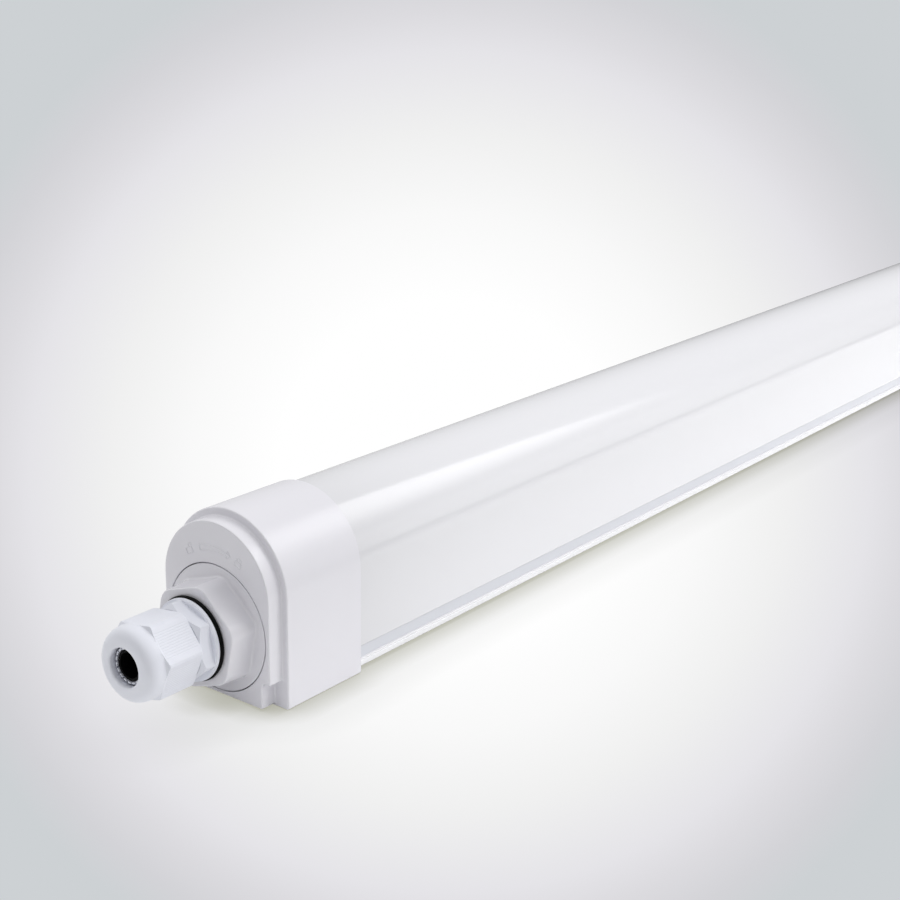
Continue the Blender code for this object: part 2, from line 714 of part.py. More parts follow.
def gland_insert(spigot_end, front, finishes, frame, place):
    """Claw, straight in the spigot and drawn in to its fingertips, with the sleeve inside it."""
    base = spigot_end + CLAW_RING
    bend = spigot_end - FIT
    tip = front + CLAW_RECESS
    outer = SPIGOT_BORE - FIT
    tip_outer = MOUTH_RADIUS - FIT
    claw = [
        (base, outer - CLAW_WALL),
        (base, outer),
        (bend, outer),
        (tip, tip_outer),
        (tip, tip_outer - CLAW_TIP_WALL),
        (bend, outer - CLAW_WALL),
    ]
    cage = mesh_object("gland_claw", turned(claw, CLAW_STEPS), finishes["nylon"], frame, place)
    slits = bmesh.new()
    for i in range(CLAW_COUNT):
        turn = Matrix.Rotation(math.tau * i / CLAW_COUNT, 4, "X")
        low = Vector((tip - OVERRUN, SEAL_BORE, -CLAW_SLIT / 2))
        high = Vector((bend, SPIGOT_BORE + OVERRUN, CLAW_SLIT / 2))
        size = high - low
        where = turn @ Matrix.Translation((low + high) / 2) @ Matrix.Diagonal((*size, 1))
        bmesh.ops.create_cube(slits, size=1, matrix=where)
    boolean(cage, mesh_object("gland_claw_slits", slits, None, frame, place), "DIFFERENCE")

    inner = outer - CLAW_WALL - FIT
    nose = tip + SEAL_RECESS
    seal = [
        (base, SEAL_BORE),
        (base, inner),
        (bend, inner),
        (nose, tip_outer - CLAW_TIP_WALL - FIT),
        (nose, SEAL_BORE),
    ]
    mesh_object("gland_seal", turned(seal, SMALL_STEPS), finishes["rubber"], frame, place)


def blanking_plug(frame, finishes):
    """Closed plug with a hexagon head in the far end's unused entry, and its washer."""
    place = (0, 0, PLUG_AXIS_Z)
    washer_start = -(HEX_HEIGHT + FIT)
    washer = flat_washer_profile(washer_start, THREAD_BORE, BLANK_FLANGE_RADIUS, WASHER_THICKNESS)
    mesh_object("blanking_oring", turned(washer, SMALL_STEPS), finishes["rubber"], frame, place)
    rear = washer_start - WASHER_THICKNESS - FIT
    face = rear - BLANK_FLANGE
    bm = loft([
        (face - BLANK_HEX, circle(BLANK_FLANGE_RADIUS, SMALL_STEPS)),
        (rear, circle(BLANK_FLANGE_RADIUS, SMALL_STEPS)),
    ])
    plug = mesh_object("blanking_plug", bm, finishes["nylon"], frame, place)
    keep = flanged_hexagon(face, face - BLANK_HEX, BLANK_FLATS, 0, rear, BLANK_FLANGE / 4)
    boolean(plug, mesh_object("blanking_plug_head", keep, None, frame, place), "INTERSECT")
    thread_end = washer_start + BLANK_THREAD
    shank = rod(THREAD_RADIUS, rear - BLANK_FLANGE / 2, thread_end, SMALL_STEPS)
    boolean(plug, mesh_object("blanking_plug_shank", shank, None, frame, place), "UNION")
    hollow = rod(BLANK_BORE, rear, thread_end + OVERRUN, SMALL_STEPS)
    boolean(plug, mesh_object("blanking_plug_hollow", hollow, None, frame, place), "DIFFERENCE")
    return plug


def both_sides(half):
    """A closed outline from its right half, listed from the bottom up."""
    return half + [(-y, z) for y, z in reversed(half)]


def base_extrusion(finish):
    """Flat base with a clip channel along each side, snap grooves and ribs for the tray."""
    side = TUBE_HALF_WIDTH
    inner = UPSTAND_Y - UPSTAND_WALL
    tray_low = TRAY_SEAT_Z - FIT
    tray_high = TRAY_SEAT_Z + TRAY_SHEET + FIT
    outer_half = [
        (side - RAIL_CHAMFER, 0),
        (side, RAIL_CHAMFER),
        (side, RAIL_GROOVE_Z - RAIL_GROOVE),
        (side - RAIL_GROOVE, RAIL_GROOVE_Z),
        (side, RAIL_GROOVE_Z + RAIL_GROOVE),
        (side, RAIL_TOP - RAIL_ROUND),
        (side - RAIL_ROUND, RAIL_TOP),
        (UPSTAND_Y, RAIL_TOP),
        (UPSTAND_Y, HOOK_Z - HOOK_HALF - HOOK_DEPTH),
        (UPSTAND_Y - HOOK_DEPTH, HOOK_Z - HOOK_HALF),
        (UPSTAND_Y - HOOK_DEPTH, HOOK_Z + HOOK_HALF),
        (UPSTAND_Y, HOOK_Z + HOOK_HALF + HOOK_DEPTH),
        (UPSTAND_Y, UPSTAND_TOP),
        (inner, UPSTAND_TOP),
        (inner, tray_high + RIB_THICKNESS),
        (inner - RIB_REACH, tray_high + RIB_THICKNESS),
        (inner - RIB_REACH, tray_high),
        (inner, tray_high),
        (inner, tray_low),
        (inner - RIB_REACH, tray_low),
        (inner - RIB_REACH, tray_low - RIB_THICKNESS),
        (inner, tray_low - RIB_THICKNESS),
        (inner, BASE_FLOOR),
    ]
    return mesh_object("base_extrusion", prism(both_sides(outer_half), -TUBE_LENGTH / 2, TUBE_LENGTH / 2), finish)


def diffuser(finish):
    """Opal arch that snaps over the base with a hook along each inner edge."""
    side = TUBE_HALF_WIDTH
    inner = side - DIFFUSER_WALL
    hook = HOOK_HALF - FIT / 2
    outer_arc = [
        (side * math.cos(math.pi * i / DIFFUSER_STEPS), ARCH_CENTRE_Z + side * math.sin(math.pi * i / DIFFUSER_STEPS))
        for i in range(DIFFUSER_STEPS + 1)
    ]
    inner_arc = [
        (-inner * math.cos(math.pi * i / DIFFUSER_STEPS), ARCH_CENTRE_Z + inner * math.sin(math.pi * i / DIFFUSER_STEPS))
        for i in range(DIFFUSER_STEPS + 1)
    ]
    right_leg = [
        (inner, HOOK_Z + hook + HOOK_DEPTH),
        (inner - HOOK_DEPTH, HOOK_Z + hook),
        (inner - HOOK_DEPTH, HOOK_Z - hook),
        (inner, HOOK_Z - hook - HOOK_DEPTH),
        (inner, DIFFUSER_EDGE_Z),
    ]
    left_leg = [(-y, z) for y, z in reversed(right_leg)]
    outline = [(side, DIFFUSER_EDGE_Z), *outer_arc, (-side, DIFFUSER_EDGE_Z), *left_leg, *inner_arc, *right_leg]
    return mesh_object("diffuser", prism(outline, -TUBE_LENGTH / 2, TUBE_LENGTH / 2), finish)


def gear_tray(finish):
    """Folded sheet channel in the base's ribs, open over the terminals and slotted for wires."""
    foot = TRAY_SEAT_Z + TRAY_SHEET
    wall = TRAY_HALF_WIDTH - TRAY_SHEET
    outline = [
        (TRAY_EDGE_Y, TRAY_SEAT_Z), (TRAY_EDGE_Y, foot), (TRAY_HALF_WIDTH, foot),
        (TRAY_HALF_WIDTH, TRAY_TOP_Z), (-TRAY_HALF_WIDTH, TRAY_TOP_Z), (-TRAY_HALF_WIDTH, foot),
        (-TRAY_EDGE_Y, foot), (-TRAY_EDGE_Y, TRAY_SEAT_Z),
        (-wall, TRAY_SEAT_Z), (-wall, TRAY_TOP_Z - TRAY_SHEET), (wall, TRAY_TOP_Z - TRAY_SHEET),
        (wall, TRAY_SEAT_Z),
    ]
    tray = mesh_object("gear_tray", prism(outline, -TRAY_LENGTH / 2, TRAY_LENGTH / 2), finish)
    openings = bmesh.new()
    wide = TRAY_HALF_WIDTH + OVERRUN
    for start, end in (
        (-TRAY_LENGTH / 2 - OVERRUN, TRAY_TOP_START),
        (-TRAY_TOP_START, TRAY_LENGTH / 2 + OVERRUN),
    ):
        add_box(openings, (start, -wide, TRAY_ACCESS_FLOOR), (end, wide, TRAY_TOP_Z + OVERRUN))
    slot_x = -TRAY_SLOT_LENGTH / 2
    add_box(
        openings,
        (slot_x, -TRAY_SLOT_WIDTH / 2, TRAY_TOP_Z - TRAY_SHEET - OVERRUN),
        (-slot_x, TRAY_SLOT_WIDTH / 2, TRAY_TOP_Z + OVERRUN),
    )
    boolean(tray, mesh_object("gear_tray_openings", openings), "DIFFERENCE")
    hole_radius = EARTH_SCREW_RADIUS + FIT
    hole = upright_cone(hole_radius, hole_radius, TRAY_TOP_Z - TRAY_SHEET - OVERRUN, TRAY_TOP_Z + OVERRUN)
    boolean(tray, mesh_object("gear_tray_earth_hole", hole), "DIFFERENCE")
    return tray


def upright_cone(low_radius, high_radius, low_z, high_z):
    """A round solid on the earth screw's axis."""
    bm = bmesh.new()
    bmesh.ops.create_cone(
        bm, cap_ends=True, segments=SCREW_STEPS, radius1=low_radius, radius2=high_radius, depth=high_z - low_z,
        matrix=Matrix.Translation((EARTH_X, 0, (low_z + high_z) / 2)),
    )
    return bm


def led_boards(finish):
    """Two circuit boards with a row of light-emitting packages."""
    length = -TRAY_TOP_START - BOARD_END_GAP - BOARD_GAP / 2
    low_z = TRAY_TOP_Z + FIT
    for number, start in ((1, TRAY_TOP_START + BOARD_END_GAP), (2, BOARD_GAP / 2)):
        low = (start, -BOARD_WIDTH / 2, low_z)
        high = (start + length, BOARD_WIDTH / 2, low_z + BOARD_THICKNESS)
        board = mesh_object(f"led_board_{number}", box(low, high), finish)
        packages = bmesh.new()
        count = int(length / LED_PITCH)
        first = start + (length - (count - 1) * LED_PITCH) / 2
        for i in range(count):
            x = first + i * LED_PITCH
            add_box(
                packages,
                (x - LED_LENGTH / 2, -LED_WIDTH / 2, high[2] - SINK),
                (x + LED_LENGTH / 2, LED_WIDTH / 2, high[2] + LED_HEIGHT),
            )
        boolean(board, mesh_object(f"led_board_{number}_packages", packages), "UNION")


def connectors(finish):
    """The jumper that bridges the two boards, and the plug that feeds the second one."""
    low_z = BOARD_TOP + FIT
    low = (-JUMPER_LENGTH / 2, JUMPER_Y - JUMPER_WIDTH / 2, low_z)
    high = (JUMPER_LENGTH / 2, JUMPER_Y + JUMPER_WIDTH / 2, low_z + JUMPER_HEIGHT)
    mesh_object("board_jumper", box(low, high), finish)
    feed_start = BOARD_GAP / 2 + FIT
    low = (feed_start, -FEED_WIDTH / 2, low_z + LED_HEIGHT)
    high = (feed_start + FEED_WIDTH, FEED_WIDTH / 2, low_z + LED_HEIGHT + JUMPER_HEIGHT)
    mesh_object("board_feed_plug", box(low, high), finish)


def driver(finishes):
    """Constant-current driver: moulded case, its board with the main components, and a lid."""
    top = TRAY_TOP_Z - TRAY_SHEET - FIT
    bottom = top - DRIVER_HEIGHT
    half = DRIVER_WIDTH / 2
    case = mesh_object("driver_case", box((DRIVER_START, -half, bottom), (DRIVER_END_X, half, top)), finishes["driver"])
    inside = box(
        (DRIVER_START + DRIVER_WALL, -half + DRIVER_WALL, bottom - OVERRUN),
        (DRIVER_END_X - DRIVER_WALL, half - DRIVER_WALL, top - DRIVER_WALL),
    )
    boolean(case, mesh_object("driver_case_inside", inside), "DIFFERENCE")
    lid_top = bottom - FIT
    lid = box((DRIVER_START, -half, lid_top - DRIVER_LID), (DRIVER_END_X, half, lid_top))
    mesh_object("driver_lid", lid, finishes["driver"])
    room = top - DRIVER_WALL - FIT - (bottom + DRIVER_BOARD_LIFT + BOARD_THICKNESS)
    driver_board(bottom + DRIVER_BOARD_LIFT, room, finishes["board"])


def driver_board(low_z, room, finish):
    """The driver's circuit board with its components, in the room under the case's roof."""
    inset = DRIVER_WALL + FIT
    half = DRIVER_WIDTH / 2 - inset
    start = DRIVER_START + inset
    end = DRIVER_END_X - inset
    top = low_z + BOARD_THICKNESS
    board = mesh_object("driver_board", box((start, -half, low_z), (end, half, top)), finish)
    # along, length, width and height of each component, as shares of the room on the board
    component_shares = (
        (0.06, 0.10, 0.70, 0.75), (0.20, 0.12, 0.55, 0.90), (0.36, 0.09, 0.40, 0.95),
        (0.50, 0.16, 0.80, 1.00), (0.72, 0.08, 0.40, 0.85), (0.85, 0.09, 0.75, 0.60),
    )
    parts = bmesh.new()
    for along_share, long_share, wide_share, high_share in component_shares:
        x = start + along_share * (end - start)
        low = (x, -wide_share * half, top - SINK)
        add_box(parts, low, (x + long_share * (end - start), wide_share * half, top + high_share * room))
    boolean(board, mesh_object("driver_board_parts", parts), "UNION")
    return board


def terminal_block(finish):
    """Three-pole mains terminal hung under the tray, with its entries facing the gland."""
    start = TERMINAL_START
    end = start + TERMINAL_LENGTH
    top = TRAY_TOP_Z - TRAY_SHEET - FIT
    half = TERMINAL_POLE * TERMINAL_POLES / 2
    block = mesh_object("terminal_block", box((start, -half, top - TERMINAL_HEIGHT), (end, half, top)), finish)
    holes = bmesh.new()
    middle_z = top - TERMINAL_HEIGHT / 2
    reach = TERMINAL_HOLE / 2
    for i in range(TERMINAL_POLES):
        y = (i - (TERMINAL_POLES - 1) / 2) * TERMINAL_POLE
        low = (start - OVERRUN, y - reach, middle_z - reach)
        add_box(holes, low, (start + TERMINAL_HOLE_DEPTH, y + reach, middle_z + reach))
        low = (end - TERMINAL_HOLE_DEPTH / 2, y - reach, middle_z - reach)
        add_box(holes, low, (end + OVERRUN, y + reach, middle_z + reach))
    boolean(block, mesh_object("terminal_block_holes", holes), "DIFFERENCE")
    return block


def earth_screw(finish):
    """Screw under the tray's top that holds the earth wire's end."""
    under = TRAY_TOP_Z - TRAY_SHEET - FIT
    head = upright_cone(EARTH_HEAD_EDGE, EARTH_HEAD_RADIUS, under - EARTH_HEAD_HEIGHT, under)
    screw = mesh_object("earth_screw", head, finish)
    shank = upright_cone(EARTH_SCREW_RADIUS, EARTH_SCREW_RADIUS, under - SINK, under + TRAY_SHEET + FIT)
    boolean(screw, mesh_object("earth_screw_shank", shank), "UNION")
    return screw


def wire(name, points, radius, finish):
    """A wire along a smooth curve through its points."""
    curve = bpy.data.curves.new(name, "CURVE")
    curve.dimensions = "3D"
    curve.bevel_depth = radius
    curve.bevel_resolution = 2
    curve.use_fill_caps = True
    smooth = smooth_path([Vector(point) for point in points], WIRE_STEPS)
    spline = curve.splines.new("POLY")
    spline.points.add(len(smooth) - 1)
    for target, point in zip(spline.points, smooth):
        target.co = (*point, 1)
    curve.materials.append(finish)
    made = bpy.data.objects.new(name, curve)
    bpy.context.scene.collection.objects.link(made)
    return made


def smooth_path(points, steps):
    """Points along a Catmull-Rom curve through the given ones."""
    ends = [2 * points[0] - points[1], *points, 2 * points[-1] - points[-2]]
    path = []
    for a, b, c, d in zip(ends, ends[1:], ends[2:], ends[3:]):
        for i in range(steps):
            t = i / steps
            path.append(0.5 * (2 * b + (c - a) * t + (2 * a - 5 * b + 4 * c - d) * t**2 + (3 * b - a - 3 * c + d) * t**3))
    path.append(points[-1])
    return path


def wires(finishes):
    """Mains wires from terminal to driver and earth screw, and the pair up to the boards."""
    top = TRAY_TOP_Z - TRAY_SHEET - FIT
    start_x = TERMINAL_START + TERMINAL_LENGTH - TERMINAL_HOLE_DEPTH / 4
    end_x = DRIVER_START - FIT
    start_z = top - TERMINAL_HEIGHT / 2
    end_z = top - DRIVER_HEIGHT / 2
    leave, middle, arrive = (start_x + (end_x - start_x) * share for share in WIRE_BEND_SHARES)
    sag_z = start_z - TERMINAL_HEIGHT / 4
    for name, side, finish in (("wire_live", -1, "brown"), ("wire_neutral", 1, "blue")):
        y = side * TERMINAL_POLE
        far_y = side * DRIVER_WIDTH / 6
        points = [
            (start_x, y, start_z), (leave, y, start_z), (middle, (y + far_y) / 2, sag_z),
            (arrive, far_y, end_z), (end_x, far_y, end_z),
        ]
        wire(name, points, WIRE_RADIUS, finishes[finish])
    screw_low = top - EARTH_HEAD_HEIGHT - WIRE_RADIUS
    screw_x = EARTH_X - EARTH_HEAD_RADIUS / 2
    points = [
        (start_x, 0, start_z), ((start_x + screw_x) / 2, 0, start_z),
        (screw_x, 0, screw_low - WIRE_RADIUS), (EARTH_X, 0, screw_low - FIT),
    ]
    wire("wire_earth", points, WIRE_RADIUS, finishes["earth"])
    feed_x = BOARD_GAP / 2
    feed_z = BOARD_TOP + FIT + LED_HEIGHT + JUMPER_HEIGHT / 2
    for name, side, finish in (("wire_led_plus", 1, "rubber"), ("wire_led_minus", -1, "red")):
        y = side * FEED_WIDTH / 4
        points = [
            (DRIVER_END_X + FIT, y, end_z), ((DRIVER_END_X - TRAY_SLOT_LENGTH) / 2, y, end_z),
            (-TRAY_SLOT_LENGTH / 3, y, (end_z + TRAY_TOP_Z) / 2),
            (0, y, TRAY_TOP_Z), (feed_x / 2, y, feed_z - DC_WIRE_RADIUS), (feed_x, y, feed_z),
        ]
        wire(name, points, DC_WIRE_RADIUS, finishes[finish])


def finishes_of_the_light():
    return {
        "cap": material("moulded_white_polycarbonate", (0.80, 0.80, 0.81), 0.38),
        "diffuser": material("opal_polycarbonate", (0.88, 0.88, 0.89), 0.22),
        "base": material("white_polycarbonate_extrusion", (0.80, 0.80, 0.81), 0.3),
        "nylon": material("pale_grey_polyamide", (0.76, 0.78, 0.80), 0.42),
        "rubber": material("black_rubber", (0.02, 0.02, 0.02), 0.6),
        "gasket": material("grey_silicone_foam", (0.45, 0.45, 0.45), 0.8),
        "tray": material("white_enamelled_steel", (0.78, 0.78, 0.78), 0.35, 0.0),
        "board": material("white_circuit_board", (0.82, 0.83, 0.82), 0.4),
        "driver": material("white_driver_case", (0.75, 0.75, 0.75), 0.5),
        "terminal": material("ivory_terminal", (0.72, 0.70, 0.62), 0.45),
        "screw": material("zinc_plated_steel", (0.62, 0.62, 0.62), 0.35, 1.0),
        "brown": material("brown_wire", (0.16, 0.07, 0.03), 0.5),
        "blue": material("blue_wire", (0.03, 0.14, 0.45), 0.5),
        "earth": material("green_wire", (0.10, 0.38, 0.08), 0.5),
        "red": material("red_wire", (0.50, 0.03, 0.02), 0.5),
    }


def build():
    clear_scene()
    finishes = finishes_of_the_light()
    base_extrusion(finishes["base"])
    diffuser(finishes["diffuser"])
    gear_tray(finishes["tray"])
    led_boards(finishes["board"])
    connectors(finishes["terminal"])
    driver(finishes)
    terminal_block(finishes["terminal"])
    earth_screw(finishes["screw"])
    wires(finishes)
    front = empty_frame("front_end", -BODY_LENGTH / 2, 0)
    rear = empty_frame("rear_end", BODY_LENGTH / 2, math.pi)
    for prefix, frame in (("front", front), ("rear", rear)):
        end_cap(prefix, frame, finishes["cap"])
        cap_gasket(prefix, frame, finishes["gasket"])
        twist_plug(prefix, frame, finishes["cap"])
        plug_oring(prefix, frame, finishes["rubber"])
    gland(front, finishes)
    blanking_plug(rear, finishes)


build()
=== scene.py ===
# Batten light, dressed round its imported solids. Sizes in the dictionaries are millimetres, angles degrees.
import math

import bmesh
import bpy
from mathutils import Matrix, Vector


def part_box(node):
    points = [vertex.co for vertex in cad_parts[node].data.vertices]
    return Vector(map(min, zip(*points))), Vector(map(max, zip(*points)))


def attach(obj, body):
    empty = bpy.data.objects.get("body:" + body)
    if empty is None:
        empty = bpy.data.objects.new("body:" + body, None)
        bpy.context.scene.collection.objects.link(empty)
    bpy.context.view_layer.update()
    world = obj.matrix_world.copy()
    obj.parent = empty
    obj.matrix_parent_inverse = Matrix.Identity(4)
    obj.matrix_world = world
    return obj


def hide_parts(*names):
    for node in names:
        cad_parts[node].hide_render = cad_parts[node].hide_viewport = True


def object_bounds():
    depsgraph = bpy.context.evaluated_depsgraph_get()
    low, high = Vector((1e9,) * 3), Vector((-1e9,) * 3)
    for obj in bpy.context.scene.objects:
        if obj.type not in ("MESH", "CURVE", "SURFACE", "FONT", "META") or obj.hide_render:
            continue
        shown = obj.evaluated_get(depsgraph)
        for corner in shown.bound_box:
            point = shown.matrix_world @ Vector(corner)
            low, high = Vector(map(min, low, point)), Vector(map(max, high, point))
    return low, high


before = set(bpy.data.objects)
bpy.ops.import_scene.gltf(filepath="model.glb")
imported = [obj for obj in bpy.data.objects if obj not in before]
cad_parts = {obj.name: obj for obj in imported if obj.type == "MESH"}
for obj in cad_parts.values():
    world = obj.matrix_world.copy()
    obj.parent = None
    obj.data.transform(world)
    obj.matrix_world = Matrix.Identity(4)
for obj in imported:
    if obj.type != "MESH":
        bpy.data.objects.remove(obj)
cadLow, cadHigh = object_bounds()
mm = 0.001


# Places taken from the frame

def nodeBox(node):
    low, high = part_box(node)
    return low / mm, high / mm


capLow, capHigh = nodeBox("front_end_cap")
plugLow, plugHigh = nodeBox("front_twist_plug")
tubeLow, tubeHigh = nodeBox("diffuser")
railLow, railHigh = nodeBox("base_extrusion")
bodyHalf = -capLow.x
capLength = capHigh.x - capLow.x
halfWidth = capHigh.y
archZ = capHigh.z - halfWidth
axisZ = (plugLow.z + plugHigh.z) / 2
ends = {
    "front": Matrix.Translation((-bodyHalf * mm, 0, 0)),
    "rear": Matrix.Translation((bodyHalf * mm, 0, 0)) @ Matrix.Rotation(math.pi, 4, "Z"),
}
print("frame read, light", round((cadHigh.x - cadLow.x) / mm, 1), "mm long")


# Nodes

def linearColour(hexValue):
    # sRGB hex to the linear values that a shader takes
    parts = [int(hexValue[i:i + 2], 16) / 255 for i in (1, 3, 5)]
    return (*[p / 12.92 if p <= 0.04045 else ((p + 0.055) / 1.055) ** 2.4 for p in parts], 1)


def addNode(tree, kind, settings=None):
    # a setting that is another node's output becomes a link
    node = tree.nodes.new(kind)
    for key, value in (settings or {}).items():
        if isinstance(value, bpy.types.NodeSocket):
            tree.links.new(value, node.inputs[key])
        elif isinstance(key, str) and hasattr(node, key):
            setattr(node, key, value)
        else:
            node.inputs[key].default_value = value
    return node


def addMath(tree, operation, *terms):
    return addNode(tree, "ShaderNodeMath", {"operation": operation, **dict(enumerate(terms))}).outputs[0]


def addVector(tree, operation, *terms):
    node = addNode(tree, "ShaderNodeVectorMath", {"operation": operation, **dict(enumerate(terms))})
    return node.outputs["Value" if operation in ("DOT_PRODUCT", "LENGTH") else "Vector"]


def addMix(tree, share, first, second):
    # a mix of two colours, in sockets 6 and 7; a share of 1 gives the second
    return addNode(tree, "ShaderNodeMix", {"data_type": "RGBA", 0: share, 6: first, 7: second}).outputs[2]


def emptyTree(owner):
    owner.use_nodes = True
    owner.node_tree.nodes.clear()
    return owner.node_tree


# Meshes

# cutters run this far past the faces that they open
past = 2
# the middle point of a small rounded edge, as a share of its radius
midEdge = 0.3
# what settle has to know of each piece that is not finished yet
dressing = {}


def meshObject(name, bm, matrix=None):
    # the mesh as an object in metres, in its place
    mesh = bpy.data.meshes.new(name)
    bm.to_mesh(mesh)
    bm.free()
    mesh.transform(Matrix.Scale(mm, 4))
    if matrix:
        mesh.transform(matrix)
    made = bpy.data.objects.new(name, mesh)
    bpy.context.scene.collection.objects.link(made)
    return made


def addSolid(name, bm, matrix=None):
    bmesh.ops.recalc_face_normals(bm, faces=bm.faces)
    return meshObject(name, bm, matrix)


def addPiece(name, bm, material, body, node=None, slot=None, matrix=None, sharpAngle=32):
    # a visible piece; settle finishes it, after the cutters that it needs
    piece = addSolid(name, bm, matrix)
    piece.data.materials.append(materials[material])
    dressing[name] = (body, node, slot, sharpAngle)
    return piece


def combine(piece, other, operation):
    step = piece.modifiers.new(other.name, "BOOLEAN")
    step.operation = operation
    step.solver = "EXACT"
    step.object = other


def settle(piece, helpers=()):
    # applies the modifiers, shades by angle, then rides and replaces the piece
    body, node, slot, sharpAngle = dressing.pop(piece.name)
    graph = bpy.context.evaluated_depsgraph_get()
    mesh = bpy.data.meshes.new_from_object(piece.evaluated_get(graph))
    piece.modifiers.clear()
    old = piece.data
    piece.data = mesh
    bpy.data.meshes.remove(old)
    for helper in helpers:
        bpy.data.objects.remove(helper, do_unlink=True)
    mesh.shade_smooth()
    mesh.set_sharp_from_angle(angle=math.radians(sharpAngle))
    even = piece.modifiers.new("evenShading", "WEIGHTED_NORMAL")
    even.keep_sharp = True
    even.weight = 100
    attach(piece, body)
    if node:
        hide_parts(node)


def joinRings(bm, rings, closed):
    # faces between neighbouring rings; closed joins the last ring to the first, open caps both ends
    for first, second in zip(rings, rings[1:] + (rings[:1] if closed else [])):
        for i in range(len(first)):
            j = (i + 1) % len(first)
            bm.faces.new((first[i], first[j], second[j], second[i]))
    if not closed:
        bm.faces.new(rings[0])
        bm.faces.new(rings[-1])


def loftSections(sections, closed=False):
    # a solid through outlines [(x, [(y, z), ...]), ...] with as many points each
    bm = bmesh.new()
    joinRings(bm, [[bm.verts.new((x, y, z)) for y, z in outline] for x, outline in sections], closed)
    return bm


def prism(start, end, outline):
    return loftSections([(start, outline), (end, outline)])


def circle(radius, steps):
    # (y, z) points round the plug's axis
    points = []
    for i in range(steps):
        angle = math.tau * i / steps
        points.append((radius * math.cos(angle), axisZ + radius * math.sin(angle)))
    return points


def turnProfile(profile, steps):
    # a closed ring turned about the plug's axis from (x, radius) points
    return loftSections([(x, circle(radius, steps)) for x, radius in profile], True)


def arcPoints(centre, radius, start, end, steps):
    points = []
    for i in range(steps + 1):
        angle = math.radians(start + (end - start) * i / steps)
        points.append((centre[0] + radius * math.cos(angle), centre[1] + radius * math.sin(angle)))
    return points


def quarterTurn(steps):
    # a rounded edge's depth from its start and inset from its end, as shares of its radius
    angles = [math.pi / 2 * i / steps for i in range(steps + 1)]
    return [(1 - math.cos(angle), 1 - math.sin(angle)) for angle in angles]


def roundEdge(start, radius, outlineAt, steps):
    # sections that round a prism's front edge, from the front inwards
    return [(start + radius * deep, outlineAt(radius * inset)) for deep, inset in quarterTurn(steps)]


def mirrored(points):
    return [(-y, z) for y, z in reversed(points)]


# Camera, stage and lamps

view = {
    "place": (-658.91, -344.09, 233.95),
    "right": (0.60937541, -0.7927237, 0.01583484),
    "up": (0.2312696, 0.19681137, 0.95277471),
    "forward": (0.75840357, 0.57693537, -0.3032649),
    "lens": 63.238, "sensor": 36, "clip": (0.01, 100),
}


def addCamera():
    data = bpy.data.cameras.new("photoView")
    data.sensor_width = view["sensor"]
    data.lens = view["lens"]
    data.clip_start, data.clip_end = view["clip"]
    camera = bpy.data.objects.new("photoView", data)
    bpy.context.scene.collection.objects.link(camera)
    turn = Matrix([view["right"], view["up"], [-v for v in view["forward"]]]).transposed()
    camera.matrix_world = Matrix.Translation(Vector(view["place"]) * mm) @ turn.to_4x4()
    bpy.context.scene.camera = camera


# light from the plus and the minus side of each axis, and the backdrop's painted shade: its greys by their
# angle from the middle of its painted pool of light
worldValues = {
    "fromPlus": (0.06, 1.03, 1.15), "fromMinus": (0.27, 0.29, 0.51),
    "shadedBackdrop": ["#FFFFFF", "#F9F9F9", "#F0F0F0", "#E5E4E8", "#DCDBDF", "#D3D3D7", "#CDD1D4"],
    "backdropShadeAngles": [6.2, 9.3, 12.1, 14.9, 16.2, 17.6, 18.9], "backdropShadeReach": 25,
    "backdropLightMiddle": (0.7555, 0.5744, -0.3153),
}


def addWorld():
    # soft light from each side of the room; the camera sees a white backdrop whose painted shade greys it
    # towards its edges
    v = worldValues
    world = bpy.data.worlds.new("paleStudio")
    bpy.context.scene.world = world
    tree = emptyTree(world)
    path = addNode(tree, "ShaderNodeLightPath")
    where = addNode(tree, "ShaderNodeTexCoord").outputs["Generated"]
    sides = []
    for operation, shares in (("MAXIMUM", v["fromPlus"]), ("MINIMUM", v["fromMinus"])):
        kept = addVector(tree, operation, where, (0, 0, 0))
        sides.append(addVector(tree, "DOT_PRODUCT", addVector(tree, "MULTIPLY", kept, kept), shares))
    middle = Vector(v["backdropLightMiddle"]).normalized()
    angle = addMath(tree, "ARCCOSINE", addVector(tree, "DOT_PRODUCT", where, middle))
    share = addMath(tree, "DIVIDE", angle, math.radians(v["backdropShadeReach"]))
    # the ramp paints the backdrop's shade: white in the painted pool of light, greyer away from it
    shadedBackdrop = addNode(tree, "ShaderNodeValToRGB", {"Fac": share})
    ramp = shadedBackdrop.color_ramp
    ramp.elements.remove(ramp.elements[1])
    for i, (colour, degrees) in enumerate(zip(v["shadedBackdrop"], v["backdropShadeAngles"])):
        stop = ramp.elements[0] if i == 0 else ramp.elements.new(degrees / v["backdropShadeReach"])
        stop.position = degrees / v["backdropShadeReach"]
        stop.color = linearColour(colour)
    total = addMath(tree, "ADD", *sides)
    light = addNode(tree, "ShaderNodeBackground", {"Color": (1, 1, 1, 1), "Strength": total})
    seen = addNode(tree, "ShaderNodeBackground", {"Color": shadedBackdrop.outputs["Color"], "Strength": 1.0})
    clear = addMath(tree, "MAXIMUM", path.outputs["Is Camera Ray"], path.outputs["Is Transmission Ray"])
    mix = addNode(tree, "ShaderNodeMixShader", {0: clear, 1: light.outputs[0], 2: seen.outputs[0]})
    addNode(tree, "ShaderNodeOutputWorld", {"Surface": mix.outputs[0]})


keyValues = {"power": 30, "place": (1250, -1190, 1185), "size": (2000, 900), "aim": (0, 0, 30)}


